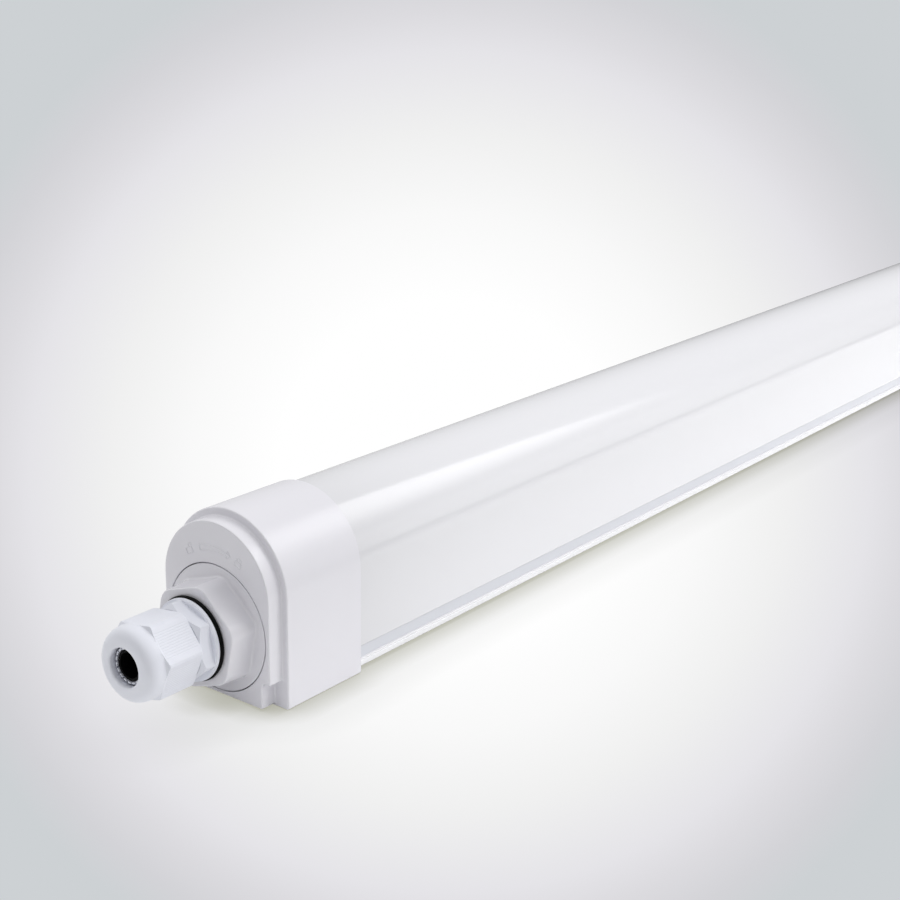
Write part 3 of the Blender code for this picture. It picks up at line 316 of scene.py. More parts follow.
def addKeySoftbox():
    # lights matt surfaces only: the cards give the gloss its highlights
    v = keyValues
    data = bpy.data.lights.new("keySoftbox", "AREA")
    data.shape = "RECTANGLE"
    data.size, data.size_y = [side * mm for side in v["size"]]
    data.energy = v["power"]
    lamp = bpy.data.objects.new("keySoftbox", data)
    bpy.context.scene.collection.objects.link(lamp)
    lamp.location = Vector(v["place"]) * mm
    lamp.rotation_euler = (Vector(v["aim"]) - Vector(v["place"])).to_track_quat("-Z", "Y").to_euler()
    lamp.visible_glossy = False


# across is where a card starts and ends to fade out; along is where it starts and ends to dim, and what is left
cardValues = {
    "faceCard": {
        "corners": ((640, -130, 1000), (2480, -1175, 1000), (1920, -2161, 1000), (80, -1116, 1000)),
        "strength": 2.5, "across": (0.0, 1.0), "along": (0.25, 0.75, 0.12),
    },
    "flagCard": {
        "corners": ((1930, -2300, -100), (2850, -930, -100), (2850, -930, 1500), (1930, -2300, 1500)),
        "strength": 0.75, "across": (0.4, 1.0), "along": (0.5, 1.0, 0.0),
    },
}


def addCard(name, v):
    # a lit cloth that only gloss sees: crisp at its first edge, fading out across and along
    bm = bmesh.new()
    face = bm.faces.new([bm.verts.new(corner) for corner in v["corners"]])
    layer = bm.loops.layers.uv.new("across")
    for loop, corner in zip(face.loops, ((0, 0), (1, 0), (1, 1), (0, 1))):
        loop[layer].uv = corner
    card = meshObject(name, bm)
    cloth = bpy.data.materials.new(name + "Cloth")
    tree = emptyTree(cloth)
    where = addNode(tree, "ShaderNodeTexCoord")
    parts = addNode(tree, "ShaderNodeSeparateXYZ", {"Vector": where.outputs["UV"]})
    fade = addNode(tree, "ShaderNodeMapRange", {
        "interpolation_type": "SMOOTHERSTEP", "Value": parts.outputs["Y"], "From Min": v["across"][0],
        "From Max": v["across"][1], "To Min": v["strength"], "To Max": 0.0,
    })
    end = addNode(tree, "ShaderNodeMapRange", {
        "Value": parts.outputs["X"], "From Min": v["along"][0], "From Max": v["along"][1], "To Min": 1.0,
        "To Max": v["along"][2],
    })
    total = addMath(tree, "MULTIPLY", fade.outputs[0], end.outputs[0])
    glow = addNode(tree, "ShaderNodeEmission", {"Color": (1, 1, 1, 1), "Strength": total})
    through = addNode(tree, "ShaderNodeBsdfTransparent")
    both = addNode(tree, "ShaderNodeAddShader", {0: glow.outputs[0], 1: through.outputs[0]})
    addNode(tree, "ShaderNodeOutputMaterial", {"Surface": both.outputs[0]})
    card.data.materials.append(cloth)
    card.visible_camera = False
    card.visible_diffuse = False
    card.visible_shadow = False


# each shadow has its reach, the direction of the light that it lacks, and its depth in red, green and blue
floorValues = {
    "half": 900, "under": 0.05, "colour": "#FBFBFA", "rough": 0.9, "near": 60, "far": 260, "samples": 16,
    "shadows": (
        (11, (0.45, 0.35, 0.8216), (0.40, 0.40, 0.475)),
        (25, (0, 0.7071, 0.7071), (0.19, 0.19, 0.195)),
    ),
}


def addFloor():
    # pale paper: it lights the part from below near by, and the camera sees the backdrop through it, with a
    # soft shadow taken off
    v = floorValues
    half, floorZ = v["half"], capLow.z
    corners = ((-half, -half), (half, -half), (half, half), (-half, half))
    bm = bmesh.new()
    bm.faces.new([bm.verts.new((x, y, floorZ - v["under"])) for x, y in corners])
    floor = meshObject("paleFloor", bm)
    paint = bpy.data.materials.new("paintedFloor")
    tree = emptyTree(paint)
    shader = addNode(tree, "ShaderNodeBsdfPrincipled", {
        "Base Color": linearColour(v["colour"]), "Roughness": v["rough"], "Specular IOR Level": 0.0,
    })
    # the paint fades out with the distance from the part's outline
    where = addNode(tree, "ShaderNodeTexCoord").outputs["Object"]
    middle = (cadLow + cadHigh) / 2
    reach = (cadHigh - cadLow) / 2
    sized = addVector(tree, "ABSOLUTE", addVector(tree, "SUBTRACT", where, (middle.x, middle.y, floorZ * mm)))
    beyond = addVector(tree, "SUBTRACT", sized, (reach.x, reach.y, 1))
    distance = addVector(tree, "LENGTH", addVector(tree, "MAXIMUM", beyond, (0, 0, 0)))
    fade = addNode(tree, "ShaderNodeMapRange", {
        "interpolation_type": "SMOOTHERSTEP", "Value": distance, "From Min": v["near"] * mm,
        "From Max": v["far"] * mm,
    })
    through = addNode(tree, "ShaderNodeBsdfTransparent")
    bounce = addNode(tree, "ShaderNodeMixShader", {
        0: fade.outputs[0], 1: shader.outputs[0], 2: through.outputs[0],
    })
    # a tight contact shadow and a weak wide one, each for light from its own side, taken off the white
    tint = (1, 1, 1)
    for shadowReach, lean, depth in v["shadows"]:
        side = addNode(tree, "ShaderNodeCombineXYZ", dict(zip("XYZ", lean)))
        near = addNode(tree, "ShaderNodeAmbientOcclusion", {
            "samples": v["samples"], "Distance": shadowReach * mm, "Normal": side.outputs[0],
        })
        hidden = addMath(tree, "SUBTRACT", 1.0, near.outputs["AO"])
        tint = addVector(tree, "MULTIPLY_ADD", hidden, [-d for d in depth], tint)
    shadedBackdrop = addNode(tree, "ShaderNodeBsdfTransparent", {"Color": tint})
    path = addNode(tree, "ShaderNodeLightPath")
    mix = addNode(tree, "ShaderNodeMixShader", {
        0: path.outputs["Is Camera Ray"], 1: bounce.outputs[0], 2: shadedBackdrop.outputs[0],
    })
    addNode(tree, "ShaderNodeOutputMaterial", {"Surface": mix.outputs[0]})
    floor.data.materials.append(paint)


addCamera()
addWorld()
addKeySoftbox()
for name, values in cardValues.items():
    addCard(name, values)
addFloor()
print("camera and stage made")


# Materials

# each skin's colour darkens by up to the share drift, and its roughness varies by roughDrift, over patches of
# the length size; grain is one grain's length and depth its height; a stretch below 1 draws patches or grains
# out along the light
skins = {
    # injection-moulded polycarbonate: the spark-eroded mould face gives a satin skin with fine grain
    "cap": {"name": "mouldedPolycarbonate", "colour": "#E6E5EB", "drift": 0.005, "size": 8, "rough": 0.255,
            "roughDrift": 0.01, "grain": 0.35, "depth": 0.005, "ior": 1.585},
    # the twist plugs come from a polished mould, so their edges and fillets catch crisp lights
    "plug": {"name": "polishedPolycarbonateMoulding", "colour": "#E4E3E9", "drift": 0.005, "size": 8,
             "rough": 0.17, "roughDrift": 0.01, "grain": 0.6, "depth": 0.002, "ior": 1.585},
    # extruded opal polycarbonate: glassy skin with faint die lines along the tube, milky inside
    "tube": {"name": "opalPolycarbonateExtrusion", "colour": "#ECECF0", "drift": 0.008, "size": 60,
             "rough": 0.11, "roughDrift": 0.015, "grain": 1.2, "depth": 0.0015, "ior": 1.585,
             "driftStretch": 0.05, "grainStretch": 0.004, "endShade": 0.12, "endReach": 40},
    # extruded white polycarbonate: smooth, with die lines that run the whole length
    "rail": {"name": "whitePolycarbonateExtrusion", "colour": "#F2F2F5", "drift": 0.01, "size": 60,
             "rough": 0.22, "roughDrift": 0.02, "grain": 0.8, "depth": 0.002, "ior": 1.585,
             # strip is the colour of the painted shade on the recessed strip, from stripLow to stripHigh
             "driftStretch": 0.05, "grainStretch": 0.004, "strip": "#D9DBE2", "stripLow": 3.1,
             "stripHigh": 7.3},
    # moulded polyamide 66: cooler white than the caps, slightly waxy
    "nylon": {"name": "mouldedPolyamide", "colour": "#E6E8F1", "drift": 0.01, "size": 12, "rough": 0.31,
              "roughDrift": 0.03, "grain": 0.25, "depth": 0.003, "ior": 1.53},
    # moulded nitrile rubber: deep black with a dull sheen and flash-trimmed skin
    "rubber": {"name": "mouldedNitrileRubber", "colour": "#070707", "drift": 0.3, "size": 4, "rough": 0.55,
               "roughDrift": 0.06, "grain": 0.2, "depth": 0.004, "ior": 1.52, "specular": 0.08},
    # closed-cell silicone foam: dull grey with open skin cells
    "foam": {"name": "siliconeFoam", "colour": "#8C8C8C", "drift": 0.15, "size": 2, "rough": 0.85,
             "roughDrift": 0.05, "grain": 0.5, "depth": 0.05, "ior": 1.41},
    # zinc-plated steel: bright blue-grey metal with fine turning marks
    "zinc": {"name": "zincPlatedSteel", "colour": "#C9CBCD", "drift": 0.08, "size": 3, "rough": 0.30,
             "roughDrift": 0.06, "grain": 0.4, "depth": 0.003, "ior": 2.0, "grainStretch": 0.3,
             "metallic": 1.0},
    # enamelled sheet steel: smooth baked enamel with a slight orange peel
    "tray": {"name": "enamelledSheetSteel", "colour": "#E4E4E2", "drift": 0.02, "size": 25, "rough": 0.32,
             "roughDrift": 0.03, "grain": 0.8, "depth": 0.004, "ior": 1.5},
    # white solder resist over the copper of a circuit board
    "board": {"name": "whiteSolderResist", "colour": "#E8E9E6", "drift": 0.03, "size": 12, "rough": 0.32,
              "roughDrift": 0.04, "grain": 0.3, "depth": 0.003, "ior": 1.5},
    # moulded driver case: matt spark-eroded polycarbonate
    "driver": {"name": "mouldedDriverCase", "colour": "#DADAD8", "drift": 0.03, "size": 15, "rough": 0.48,
               "roughDrift": 0.04, "grain": 0.3, "depth": 0.010, "ior": 1.54},
    # moulded ivory nylon of terminals and board plugs
    "terminal": {"name": "mouldedIvoryNylon", "colour": "#DCD8C8", "drift": 0.03, "size": 10, "rough": 0.38,
                 "roughDrift": 0.04, "grain": 0.3, "depth": 0.005, "ior": 1.53},
}
# extruded wire insulation: one smooth skin in four colours
for key, colour in (("brown", "#70492E"), ("blue", "#2E68B4"), ("green", "#58A04E"), ("red", "#B83228")):
    skins[key] = {"name": key + "WireInsulation", "colour": colour, "drift": 0.08, "size": 6, "rough": 0.42,
                  "roughDrift": 0.04, "grain": 0.5, "depth": 0.004, "ior": 1.53}


def addNoise(tree, size, stretch, detail):
    where = addNode(tree, "ShaderNodeTexCoord")
    scale = 1 / mm / size
    scaled = addNode(tree, "ShaderNodeMapping", {
        "Vector": where.outputs["Object"], "Scale": (stretch * scale, scale, scale),
    })
    noise = addNode(tree, "ShaderNodeTexNoise", {
        "Vector": scaled.outputs["Vector"], "Scale": 1.0, "Detail": detail,
    })
    return noise.outputs["Fac"]


def makeSkin(v):
    # slow drifts of colour and gloss, as mould flow and handling leave them, and a fine grain
    made = bpy.data.materials.new(v["name"])
    tree = emptyTree(made)
    base = linearColour(v["colour"])
    dark = (*[c * (1 - v["drift"]) for c in base[:3]], 1)
    noise = addNoise(tree, v["size"], v.get("driftStretch", 1), 3.0)
    gloss = addNode(tree, "ShaderNodeMapRange", {
        "Value": noise, "To Min": v["rough"] - v["roughDrift"], "To Max": v["rough"] + v["roughDrift"],
    })
    bump = addNode(tree, "ShaderNodeBump", {
        "Height": addNoise(tree, v["grain"], v.get("grainStretch", 1), 2.0), "Strength": 1.0,
        "Distance": v["depth"] * mm,
    })
    tone = addMix(tree, noise, dark, base)
    shader = addNode(tree, "ShaderNodeBsdfPrincipled", {
        "Base Color": tone, "Roughness": gloss.outputs["Result"], "Normal": bump.outputs["Normal"],
        "IOR": v["ior"], "Metallic": v.get("metallic", 0.0), "Specular IOR Level": v.get("specular", 0.5),
    })
    addNode(tree, "ShaderNodeOutputMaterial", {"Surface": shader.outputs["BSDF"]})
    return made, tree, shader, tone


def makeOpalTube():
    # the milky wall passes less light close to the caps; painted shade greys it slightly towards its ends
    v = skins["tube"]
    made, tree, shader, tone = makeSkin(v)
    where = addNode(tree, "ShaderNodeTexCoord")
    parts = addNode(tree, "ShaderNodeSeparateXYZ", {"Vector": where.outputs["Object"]})
    scale = 1 / (v["endReach"] * mm)
    along = addMath(tree, "ABSOLUTE", parts.outputs["X"])
    fall = addMath(tree, "EXPONENT", addMath(tree, "MULTIPLY_ADD", along, scale, -scale * bodyHalf * mm))
    shade = addMath(tree, "MULTIPLY", fall, v["endShade"] * math.exp(capLength / v["endReach"]))
    tree.links.new(addMix(tree, shade, tone, (0, 0, 0, 1)), shader.inputs["Base Color"])
    return made


def makeRailPlastic():
    # the strip recessed under the tube's edge is painted a greyer white: painted shade where the tube's edge
    # shades it
    v = skins["rail"]
    made, tree, shader, tone = makeSkin(v)
    where = addNode(tree, "ShaderNodeTexCoord")
    parts = addNode(tree, "ShaderNodeSeparateXYZ", {"Vector": where.outputs["Object"]})
    over = addMath(tree, "GREATER_THAN", parts.outputs["Z"], v["stripLow"] * mm)
    under = addMath(tree, "LESS_THAN", parts.outputs["Z"], v["stripHigh"] * mm)
    mix = addMix(tree, addMath(tree, "MULTIPLY", over, under), tone, linearColour(v["strip"]))
    tree.links.new(mix, shader.inputs["Base Color"])
    return made


special = {"tube": makeOpalTube, "rail": makeRailPlastic}
materials = {key: special[key]() if key in special else makeSkin(v)[0] for key, v in skins.items()}
print(len(materials), "materials made")


# Tube

diffuserShape = {
    "wall": 1.6, "edgeRound": 0.7, "edgeSteps": 6, "legTop": 2.0, "archSteps": 96, "hookZ": 10.7,
    "hookHalf": 0.35, "hookDepth": 0.8,
}
railShape = {
    "chamfer": 0.9, "railTop": 3.0, "grooveZ": 2.3, "groove": 0.25, "round": 0.2, "strip": 0.9,
    "stripTop": 7.1, "upstandTop": 13.0, "upstandWall": 1.7, "upstandGap": 0.3, "floor": 1.8, "hookZ": 10.7,
    "hookHalf": 0.5, "hookDepth": 0.8, "ribs": ((10.4, 9.6), (8.0, 7.2)), "ribReach": 1.9,
    "chamferArc": (290, 350, 4), "roundArc": (22, 90, 4),
}


def hookPoints(wall, v):
    # a snap hook on a wall on the +Y side, from below upwards; it points to the middle
    z, half, depth = v["hookZ"], v["hookHalf"], v["hookDepth"]
    tip = wall - depth
    return [(wall, z - half - depth), (tip, z - half), (tip, z + half), (wall, z + half + depth)]


def addDiffuser():
    v = diffuserShape
    outer, inner = tubeHigh.y, tubeHigh.y - v["wall"]
    edgeZ, r = tubeLow.z, v["edgeRound"]
    innerRight = [(inner, edgeZ), *hookPoints(inner, v)]
    outline = [
        (outer, edgeZ + v["legTop"]), *arcPoints((0, archZ), outer, 0, 180, v["archSteps"]),
        (-outer, edgeZ + v["legTop"]), *arcPoints((-outer + r, edgeZ + r), r, 180, 270, v["edgeSteps"]),
        *[(-y, z) for y, z in innerRight],
        *[(-y, z) for y, z in arcPoints((0, archZ), inner, 0, 180, v["archSteps"])],
        *reversed(innerRight), *arcPoints((outer - r, edgeZ + r), r, 270, 360, v["edgeSteps"]),
    ]
    settle(addPiece("opalDiffuser", prism(tubeLow.x, tubeHigh.x, outline), "tube", "root", "diffuser",
                    "opal_diffuser"))


def addRail():
    v = railShape
    side, chamfer, groove, r = railHigh.y, v["chamfer"], v["groove"], v["round"]
    upstand = side - diffuserShape["wall"] - v["upstandGap"]
    inner = upstand - v["upstandWall"]
    ribEnd = inner - v["ribReach"]
    half = [
        (side - chamfer, 0), *arcPoints((side - chamfer, chamfer), chamfer, *v["chamferArc"]),
        (side, chamfer), (side, v["grooveZ"] - groove), (side - groove, v["grooveZ"]),
        (side, v["grooveZ"] + groove),
        (side, v["railTop"] - r), *arcPoints((side - r, v["railTop"] - r), r, *v["roundArc"]),
        (side - v["strip"], v["railTop"]), (side - v["strip"], v["stripTop"]), (upstand, v["stripTop"]),
        *hookPoints(upstand, v), (upstand, v["upstandTop"]), (inner, v["upstandTop"]),
    ]
    for top, bottom in v["ribs"]:
        half += [(inner, top), (ribEnd, top), (ribEnd, bottom), (inner, bottom)]
    half.append((inner, v["floor"]))
    settle(addPiece("baseRail", prism(railLow.x, railHigh.x, half + mirrored(half)), "rail", "root",
                    "base_extrusion", "white_extrusion"))


addDiffuser()
addRail()
print("tube made")


# End caps

capShape = {
    "wall": 1.1, "faceWall": 2.5, "corner": 1.0, "edgeRound": 0.6, "bossProud": 6.2, "bossSide": 2.2,
    "bossTop": 2.8, "bossBottom": 1.0, "bossCorner": 0.4, "bossRound": 0.45, "rootRound": 0.7,
    "notchWidth": 3.6, "notchHeight": 9.2, "notchRound": 1.8, "archSteps": 72, "cornerSteps": 4,
    "edgeSteps": 5, "bossCornerSteps": 3, "notchSteps": 6, "bossSteps": 4, "rootSteps": 5,
    "seatRadius": 22.0, "seatDepth": 5.1, "seatLead": 0.2, "seatSteps": 128, "ringBore": 20.3,
    "shoulder": 13.4, "shoulderInset": 3.2, "backEdge": 0.3, "backInset": 0.25,
}


def capOutline(inset):
    v = capShape
    half, bottom, r = halfWidth - inset, capLow.z + inset, v["corner"]
    return [
        *arcPoints((half - r, bottom + r), r, 270, 360, v["cornerSteps"]),
        *arcPoints((0, archZ), half, 0, 180, v["archSteps"]),
        *arcPoints((-half + r, bottom + r), r, 180, 270, v["cornerSteps"]),
    ]


def bossOutline(inset):
    # a D whose lower corners are notched; a negative inset spreads it
    v = capShape
    half = halfWidth - v["bossSide"] - inset
    rise = halfWidth - v["bossTop"] - inset
    bottom = capLow.z + v["bossBottom"] + inset
    foot = half - v["notchWidth"]
    ceiling = capLow.z + v["bossBottom"] + v["notchHeight"] + inset
    r, c = v["notchRound"] + inset, v["bossCorner"]
    right = [
        *arcPoints((foot - c, bottom + c), c, 270, 360, v["bossCornerSteps"]),
        *reversed(arcPoints((foot + r, ceiling - r), r, 90, 180, v["notchSteps"])),
        *arcPoints((half - c, ceiling + c), c, 270, 360, v["bossCornerSteps"]),
    ]
    angles = [math.pi * i / v["archSteps"] for i in range(v["archSteps"] + 1)]
    return right + [(half * math.cos(a), archZ + rise * math.sin(a)) for a in angles] + mirrored(right)


def seatCutter():
    # the round pocket for the plug, with a small lead-in at its mouth, and the bore behind it
    v = capShape
    mouth = v["seatRadius"] + v["seatLead"]
    profile = [
        (-past, mouth), (0, mouth), (v["seatLead"], v["seatRadius"]), (v["seatDepth"], v["seatRadius"]),
        (v["seatDepth"], v["ringBore"]), (v["shoulder"], v["ringBore"]),
    ]
    return loftSections([(x, circle(radius, v["seatSteps"])) for x, radius in profile])


def addCap(end, place):
    v = capShape
    name = f"{end}EndCap"
    proud, root = v["bossProud"], v["rootRound"]
    sections = roundEdge(proud, v["edgeRound"], capOutline, v["edgeSteps"])
    sections += [(capLength - v["backEdge"], capOutline(0)), (capLength, capOutline(v["backInset"]))]
    cap = addPiece(name, loftSections(sections), "cap", "root", f"{end}_end_cap", "moulded_white", place)
    boss = roundEdge(0, v["bossRound"], bossOutline, v["bossSteps"])
    for deep, inset in reversed(quarterTurn(v["rootSteps"])):
        boss.append((proud - root * deep, bossOutline(-root * inset)))
    boss.append((proud + v["faceWall"] / 2, bossOutline(-root)))
    tools = [
        (loftSections(boss), "UNION"),
        (prism(v["shoulder"], capLength + past, capOutline(v["wall"])), "DIFFERENCE"),
        (prism(proud + v["faceWall"], v["shoulder"] + past, capOutline(v["shoulderInset"])), "DIFFERENCE"),
        (seatCutter(), "DIFFERENCE"),
    ]
    helpers = []
    for i, (bm, operation) in enumerate(tools):
        helpers.append(addSolid(f"{name}Tool{i}", bm, place))
        combine(cap, helpers[-1], operation)
    settle(cap, helpers)


# places on the marks' ring are angles that run from -Y towards +Z
lockMarks = {
    "ring": 27.2, "open": 115, "closed": 67, "tail": 104, "neck": 78, "head": 74.5, "footHalf": 0.18,
    "topHalf": 0.09, "rise": 0.14, "root": 0.06, "bodyHalf": 1.4, "bodyBelow": 1.6, "bodyAbove": 0.4,
    "shackle": 0.85, "shackleRise": 0.5, "shackleFoot": 0.25, "shackleSteps": 8, "swing": 0.9,
    "tailHalf": 1.1, "neckHalf": 0.45, "headHalf": 1.3, "arrowSteps": 10,
}


def raisedStroke(bm, points, closed):
    # a low ridge with sloped sides along a line of (y, z) points on the boss face
    v = lockMarks
    slopes = ((-v["footHalf"], v["root"]), (-v["topHalf"], -v["rise"]), (v["topHalf"], -v["rise"]),
              (v["footHalf"], v["root"]))
    count = len(points)
    rings = []
    for i, (y, z) in enumerate(points):
        before = points[i - 1] if closed or i > 0 else points[i]
        after = points[(i + 1) % count] if closed or i < count - 1 else points[i]
        run = Vector((after[0] - before[0], after[1] - before[1])).normalized()
        rings.append([bm.verts.new((x, y - across * run.y, z + across * run.x)) for across, x in slopes])
    joinRings(bm, rings, closed)


def markPoint(angle, out=0.0, across=0.0):
    # a point on the marks' ring, moved out from the plug's axis and across the radius
    a = math.radians(angle)
    r = lockMarks["ring"] + out
    return (-r * math.cos(a) - across * math.sin(a), axisZ + r * math.sin(a) - across * math.cos(a))


def addLockMarks(end, place):
    # an open and a closed padlock with the arrow between them, standing a little proud of the boss
    v = lockMarks
    bm = bmesh.new()
    half, low, high = v["bodyHalf"], -v["bodyBelow"], v["bodyAbove"]
    foot = high + v["shackleFoot"]
    for angle, swing in ((v["open"], v["swing"]), (v["closed"], 0)):
        body = [(-half, low), (half, low), (half, high), (-half, high)]
        arc = arcPoints((swing, high + v["shackleRise"]), v["shackle"], 0, 180, v["shackleSteps"])
        arc.append((arc[-1][0], foot))
        if not swing:
            arc.insert(0, (arc[0][0], foot))
        for line, closed in ((body, True), (arc, False)):
            raisedStroke(bm, [markPoint(angle, out, across) for across, out in line], closed)
    sides = []
    for way in (1, -1):
        for i in range(v["arrowSteps"] + 1):
            share = i / v["arrowSteps"]
            width = v["tailHalf"] + (v["neckHalf"] - v["tailHalf"]) * share
            sides.append(markPoint(v["tail"] + (v["neck"] - v["tail"]) * share, way * width))
    outer, inner = sides[:len(sides) // 2], sides[len(sides) // 2:]
    head = [markPoint(v["neck"], v["headHalf"]), markPoint(v["head"]), markPoint(v["neck"], -v["headHalf"])]
    raisedStroke(bm, outer + head + inner[::-1], True)
    settle(addPiece(f"{end}LockMarks", bm, "cap", "root", matrix=place))


for end, place in ends.items():
    addCap(end, place)
    addLockMarks(end, place)
print("end caps made")


# Twist plugs

plugShape = {
    "radius": 21.7, "edge": 0.25, "rim": 4.8, "wall": 2.6, "shank": 20.0, "shankBore": 17.0, "depth": 11.5,
    "hexFlats": 33.4, "hexTurn": -18, "hexCorner": 4.0, "frontCorner": 6.6, "draft": 0.3, "hexHeight": 10.2,
    "flare": 0.8, "hexEdge": 0.5, "bore": 10.2, "grooveStart": 1.3, "grooveWidth": 2.2, "grooveDepth": 2.1,
    "hexSteps": 8, "steps": 144, "edgeSteps": 6, "boreSteps": 72, "sharp": 30,
}


def hexOutline(flats, corner, turn, steps):
    points = []
    reach = (flats / 2 - corner) / math.cos(math.pi / 6)
    for side in range(6):
        middle = math.radians(turn) + side * math.pi / 3
        for i in range(steps + 1):
            angle = middle + (i / steps - 0.5) * math.pi / 3
            points.append((reach * math.cos(middle) + corner * math.cos(angle),
                           axisZ + reach * math.sin(middle) + corner * math.sin(angle)))
    return points


def towerOutline(height, spread):
    # the plug's hexagon at a height over its disc: its corners round off towards the front
    v = plugShape
    share = height / v["hexHeight"]
    corner = v["hexCorner"] + (v["frontCorner"] - v["hexCorner"]) * share
    flats = v["hexFlats"] + 2 * (spread - v["draft"] * share)
    return hexOutline(flats, corner + spread, v["hexTurn"], v["hexSteps"])


def addTwistPlug(end, place):
    v = plugShape
    name = f"{end}TwistPlug"
    radius, edge, grooveStart = v["radius"], v["edge"], v["grooveStart"]
    groove = radius - v["grooveDepth"]
    grooveEnd = grooveStart + v["grooveWidth"]
    profile = [
        (0, v["bore"]), (0, radius - edge), (edge * midEdge, radius - edge * midEdge), (edge, radius),
        (grooveStart, radius), (grooveStart, groove), (grooveEnd, groove), (grooveEnd, radius),
        (v["rim"], radius), (v["rim"], v["shank"]), (v["depth"], v["shank"]), (v["depth"], v["shankBore"]),
        (v["wall"], v["shankBore"]), (v["wall"], v["bore"]),
    ]
    plug = addPiece(name, turnProfile(profile, v["steps"]), "plug", f"{end}_plug", f"{end}_twist_plug",
                    "moulded_white", place, v["sharp"])
    tower = [(v["wall"] / 2, towerOutline(0, v["flare"]))]
    for deep, inset in quarterTurn(v["edgeSteps"]):
        height = v["flare"] * deep
        tower.append((-height, towerOutline(height, v["flare"] * inset)))
    for deep, inset in quarterTurn(v["edgeSteps"]):
        height = v["hexHeight"] - v["hexEdge"] * inset
        tower.append((-height, towerOutline(height, -v["hexEdge"] * deep)))
    bore = prism(-v["hexHeight"] - past, v["wall"] + past, circle(v["bore"], v["boreSteps"]))
    tool = addSolid(f"{name}Hexagon", loftSections(tower), place)
    drill = addSolid(f"{name}Bore", bore, place)
    combine(plug, tool, "UNION")
    combine(plug, drill, "DIFFERENCE")
    settle(plug, [tool, drill])


plugRing = {"middle": (2.4, 20.8), "half": 0.9, "sides": 16, "steps": 128, "sharp": 60}


def addPlugRing(end, place):
    v = plugRing
    points = arcPoints(v["middle"], v["half"], 0, 360 - 360 / v["sides"], v["sides"] - 1)
    settle(addPiece(f"{end}PlugOring", turnProfile(points, v["steps"]), "rubber", f"{end}_seal",
                    f"{end}_plug_oring", "black_rubber", place, v["sharp"]))


for end, place in ends.items():
    addTwistPlug(end, place)
    addPlugRing(end, place)
print("twist plugs made")


# Cable gland and blanking plug: x is 0 at the boss face and negative outside it

glandShape = {
    "washerBack": -10.25, "washer": 1.5, "washerOuter": 14.35, "rear": -11.8, "flange": 1.35,
    "flangeRadius": 13.9, "flangeEdge": 0.3, "flats": 24.0, "flatsCorner": 0.35, "corner": 13.6,
    "chamfer": 1.3, "chamferAcross": 1.56, "hexTurn": 21, "front": -18.4, "spigotEnd": -26.6, "thread": 9.9,
    "threadEnd": 0.4, "threadPitch": 1.5, "threadGroove": 0.7, "bore": 6.6, "spigotBore": 8.3,
    "entryEnd": -0.5, "clear": 0.3, "hexSteps": 4, "washerSteps": 10, "steps": 128, "sharp": 30,
}
nutShape = {
    "flats": 24.0, "flatsCorner": 0.5, "corner": 13.7, "turn": -8, "rear": -18.7, "hexLength": 13.5,
    "step": 1.0, "stepPoints": 6, "dome": 12.4, "domeLength": 6.2, "domePoints": 24, "fullness": 3.0,
    "mouth": 6.4, "lip": 1.5, "chamfer": 0.6, "bore": 10.2, "threadDepth": 9.2, "ribs": 11,
    "ribPitch": 0.85, "ribWidth": 0.36, "ribDepth": 0.05,
    "runOut": ((0.7, 0), (0.3, 0.08), (0, 0.25), (-0.3, 0.6), (-0.5, 1.2)), "lipSteps": 6, "steps": 180,
    "sharp": 28,
}
clawShape = {
    "ring": 7.0, "outer": 8.0, "wall": 1.0, "bend": 0.3, "tipOuter": 6.1, "tipWall": 0.8, "tipEdge": 0.3,
    "recess": 2.1, "slit": 0.6, "slitPast": 1, "count": 18, "steps": 144, "sealBore": 4.2,
    "sealRecess": 0.4, "sealFit": 0.3, "sealSteps": 96,
}
blankShape = {
    "washerOuter": 13.5, "flange": 1.4, "flangeEdge": 0.3, "flats": 20.0, "head": 3.6, "corner": 11.2,
    "chamfer": 0.8, "chamferAcross": 1.4, "thread": 8.0, "bore": 7.2, "boreSteps": 72, "sharp": 30,
}


def keepInside(piece, name, sections, place):
    keep = addSolid(name, loftSections(sections), place)
    combine(piece, keep, "INTERSECT")
    return keep


def flangedHexagon(flats, turn, front, face, back, run):
    # the space kept for a hexagon that stands on a full round flange
    g = glandShape
    hexagon, wide = [hexOutline(size, g["flatsCorner"], turn, g["hexSteps"]) for size in (flats, 2 * flats)]
    return [(front - past, hexagon), (face - run, hexagon), (face, wide), (back + past, wide)]


def addWasher(name, outer, body, node, place):
    g = glandShape
    bore, half = g["thread"] + g["clear"], g["washer"] / 2
    points = [(g["washerBack"], bore), (g["washerBack"] - g["washer"], bore)]
    edge = arcPoints((half - g["washerBack"], outer - half), half, 0, 180, g["washerSteps"])
    points += [(-x, r) for x, r in edge]
    settle(addPiece(name, turnProfile(points, g["steps"]), "rubber", body, node, "black_rubber", place))


def threadProfile(start, end):
    # a thread's outline as rounded grooves, crest to crest, inside the plain cylinder
    g = glandShape
    radius, pitch, depth = g["thread"], g["threadPitch"], g["threadGroove"]
    points = []
    count, quarter = int((start - end) / pitch), pitch / 4
    for i in range(count):
        x = start - i * pitch
        points += [(x, radius), (x - quarter, radius), (x - 2 * quarter, radius - depth),
                   (x - 3 * quarter, radius - depth)]
    return points + [(start - count * pitch, radius)]


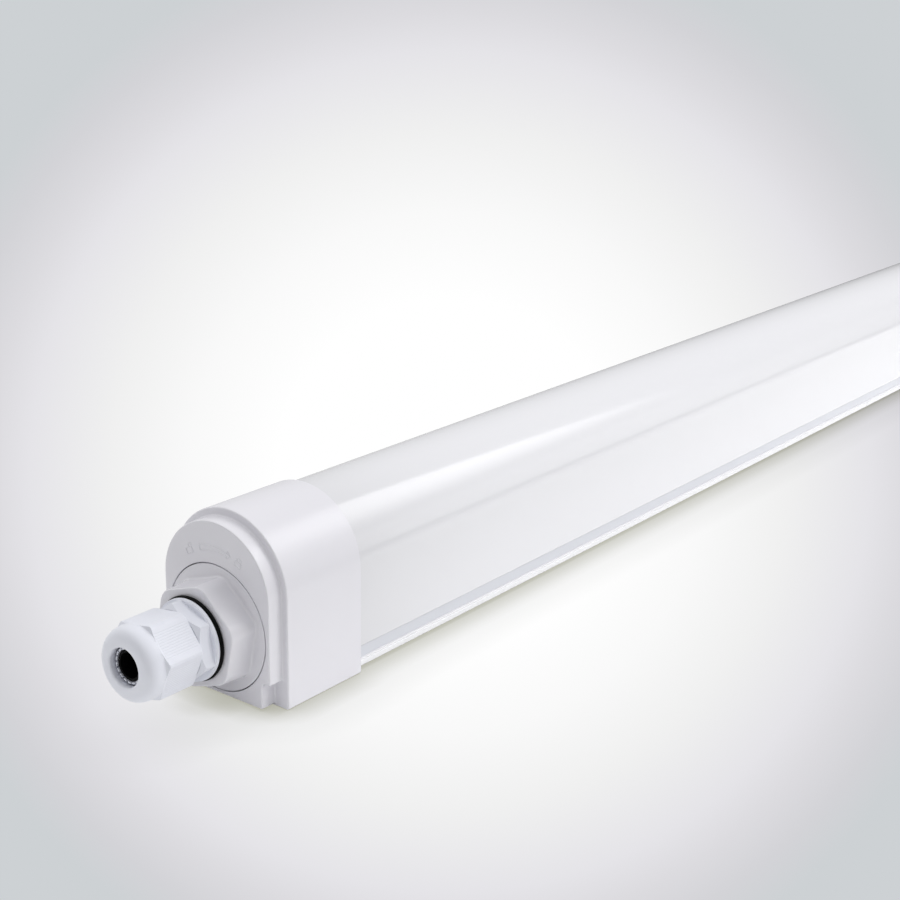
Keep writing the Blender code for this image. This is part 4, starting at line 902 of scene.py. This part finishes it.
def addGland(place):
    g = glandShape
    addWasher("glandSealRing", g["washerOuter"], "front_plug", "gland_oring", place)
    seat = g["spigotEnd"] + clawShape["ring"] + g["clear"]
    face = g["rear"] - g["flange"]
    rim, edge, chamfer, end = g["flangeRadius"], g["flangeEdge"], g["chamfer"], g["threadEnd"]
    profile = [
        (g["entryEnd"], g["bore"]), (g["entryEnd"], g["thread"]), (g["rear"], g["thread"]),
        (g["rear"], rim - edge), (g["rear"] - edge * midEdge, rim - edge * midEdge), (g["rear"] - edge, rim),
        (face + edge, rim), (face + edge * midEdge, rim - edge * midEdge), (face, g["corner"]),
        (g["front"] + chamfer, g["corner"]), (g["front"], g["corner"] - g["chamferAcross"]),
        (g["front"], g["thread"]), *threadProfile(g["front"] - end, g["spigotEnd"] + end),
        (g["spigotEnd"], g["thread"] - end), (g["spigotEnd"], g["spigotBore"]), (seat, g["spigotBore"]),
        (seat, g["bore"]),
    ]
    body = addPiece("glandBody", turnProfile(profile, g["steps"]), "nylon", "front_plug", "gland_body",
                    "gland_nylon", place, g["sharp"])
    sections = flangedHexagon(g["flats"], g["hexTurn"], g["spigotEnd"], face, g["entryEnd"], edge)
    settle(body, [keepInside(body, "glandBodyFlats", sections, place)])


def ribbedHexagon(flats):
    # the nut's hexagon, whose flats carry shallow lengthwise grooves between fine ribs
    n = nutShape
    half = flats / 2 * math.tan(math.pi / 6) - n["flatsCorner"]
    middle = (n["ribs"] - 1) / 2
    w, d = n["ribWidth"] / 2, n["ribDepth"]
    steps = [(-half, 0)]
    for i in range(n["ribs"]):
        t = (i - middle) * n["ribPitch"]
        steps += [(t - w, 0), (t - w / 2, -d), (t + w / 2, -d), (t + w, 0)]
    steps.append((half, 0))
    points = []
    for side in range(6):
        face = math.radians(n["turn"] + 30) + side * math.pi / 3
        for along, rise in steps:
            reach = flats / 2 + rise
            points.append((reach * math.cos(face) - along * math.sin(face),
                           axisZ + reach * math.sin(face) + along * math.cos(face)))
    return points


def addNut(place):
    n = nutShape
    hexEnd = n["rear"] - n["hexLength"]
    domeStart = hexEnd - n["step"]
    front = domeStart - n["domeLength"]
    half = n["lip"] / 2
    lip = n["mouth"] + half
    power = 2 / n["fullness"]
    drop = (n["corner"] - n["dome"]) / 2
    shares = [i / n["stepPoints"] for i in range(n["stepPoints"])]
    collar = [(hexEnd - n["step"] * s, n["corner"] - drop * (1 - math.cos(math.pi * s))) for s in shares]
    dome = []
    for i in range(n["domePoints"]):
        angle = math.pi / 2 * i / n["domePoints"]
        rise = math.cos(angle) ** power
        dome.append((domeStart - n["domeLength"] * math.sin(angle) ** power, lip + (n["dome"] - lip) * rise))
    profile = [
        (n["rear"], n["bore"]), (n["rear"], n["corner"] - n["chamfer"]),
        (n["rear"] - n["chamfer"], n["corner"]), *collar, *dome,
        *arcPoints((front + half, lip), half, 180, 270, n["lipSteps"]),
        (front + clawShape["recess"], n["mouth"]), (n["rear"] - n["threadDepth"], n["bore"]),
    ]
    nut = addPiece("glandNut", turnProfile(profile, n["steps"]), "nylon", "dome_nut", "gland_nut",
                   "gland_nylon", place, n["sharp"])
    # the ribbed flats run out at the round collar that starts the dome
    cuts = [(domeStart + x, out) for x, out in n["runOut"]]
    cuts = [(n["rear"] + past, 0), *cuts, (front - past, n["flats"] / 2)]
    keep = [(x, ribbedHexagon(n["flats"] + 2 * out)) for x, out in cuts]
    settle(nut, [keepInside(nut, "glandNutFlats", keep, place)])


def addClaw(place):
    c, n, end = clawShape, nutShape, glandShape["spigotEnd"]
    base, bend = end + c["ring"], end - c["bend"]
    tip = n["rear"] - n["hexLength"] - n["step"] - n["domeLength"] + c["recess"]
    outer, edge, tipInner = c["outer"], c["tipEdge"], c["tipOuter"] - c["tipWall"]
    profile = [
        (base, outer - c["wall"]), (base, outer), (bend, outer), (tip + edge, c["tipOuter"]),
        (tip, c["tipOuter"] - edge), (tip, tipInner), (bend, outer - c["wall"]),
    ]
    claw = addPiece("glandClaw", turnProfile(profile, c["steps"]), "nylon", "claw_set", "gland_claw",
                    "gland_nylon", place)
    slits = bmesh.new()
    low = Vector((tip - c["slitPast"], c["sealBore"], -c["slit"] / 2))
    high = Vector((bend, outer + c["slitPast"], c["slit"] / 2))
    middle, size = Matrix.Translation((low + high) / 2), Matrix.Diagonal((*(high - low), 1))
    for i in range(c["count"]):
        turn = Matrix.Translation((0, 0, axisZ)) @ Matrix.Rotation(math.tau * i / c["count"], 4, "X")
        bmesh.ops.create_cube(slits, size=1, matrix=turn @ middle @ size)
    tool = addSolid("glandClawSlits", slits, place)
    combine(claw, tool, "DIFFERENCE")
    settle(claw, [tool])
    inner = outer - c["wall"] - c["sealFit"]
    nose = tip + c["sealRecess"]
    seal = [(base, c["sealBore"]), (base, inner), (bend, inner), (nose, tipInner - c["sealFit"]),
            (nose, c["sealBore"])]
    settle(addPiece("glandSealSleeve", turnProfile(seal, c["sealSteps"]), "rubber", "claw_set", "gland_seal",
                    "black_rubber", place))


def addBlankingPlug(place):
    g, b = glandShape, blankShape
    addWasher("blankingSealRing", b["washerOuter"], "rear_plug", "blanking_oring", place)
    face = g["rear"] - b["flange"]
    front = face - b["head"]
    end = g["washerBack"] + b["thread"]
    rim, edge = b["washerOuter"], b["flangeEdge"]
    outer = [
        (end, g["thread"]), (g["rear"], g["thread"]), (g["rear"], rim - edge), (g["rear"] - edge, rim),
        (face + edge, rim), (face, rim - edge), (face, b["corner"]), (front + b["chamfer"], b["corner"]),
        (front, b["corner"] - b["chamferAcross"]),
    ]
    plug = addPiece("blankingPlug", loftSections([(x, circle(r, g["steps"])) for x, r in outer]), "nylon",
                    "rear_plug", "blanking_plug", "gland_nylon", place, b["sharp"])
    keep = keepInside(plug, "blankingPlugFlats", flangedHexagon(b["flats"], 0, front, face, end, edge), place)
    bore = prism(g["rear"], end + past, circle(b["bore"], b["boreSteps"]))
    hollow = addSolid("blankingPlugHollow", bore, place)
    combine(plug, hollow, "DIFFERENCE")
    settle(plug, [keep, hollow])


addGland(ends["front"])
addNut(ends["front"])
addClaw(ends["front"])
addBlankingPlug(ends["rear"])
print("gland and blanking plug made")


# Hidden pieces keep their solids

innerNodes = {
    "gear_tray": "tray", "led_board_1": "board", "led_board_2": "board", "driver_board": "board",
    "board_jumper": "terminal", "board_feed_plug": "terminal", "terminal_block": "terminal",
    "driver_case": "driver", "driver_lid": "driver", "front_cap_gasket": "foam", "rear_cap_gasket": "foam",
    "wire_live": "brown", "wire_neutral": "blue", "wire_earth": "green", "wire_led_minus": "red",
    "wire_led_plus": "rubber", "earth_screw": "zinc",
}
for node, key in innerNodes.items():
    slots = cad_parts[node].data.materials
    slots.clear()
    slots.append(materials[key])
print(len(innerNodes), "hidden pieces finished")

bpy.context.scene.view_settings.view_transform = "Standard"
bpy.context.view_layer.update()
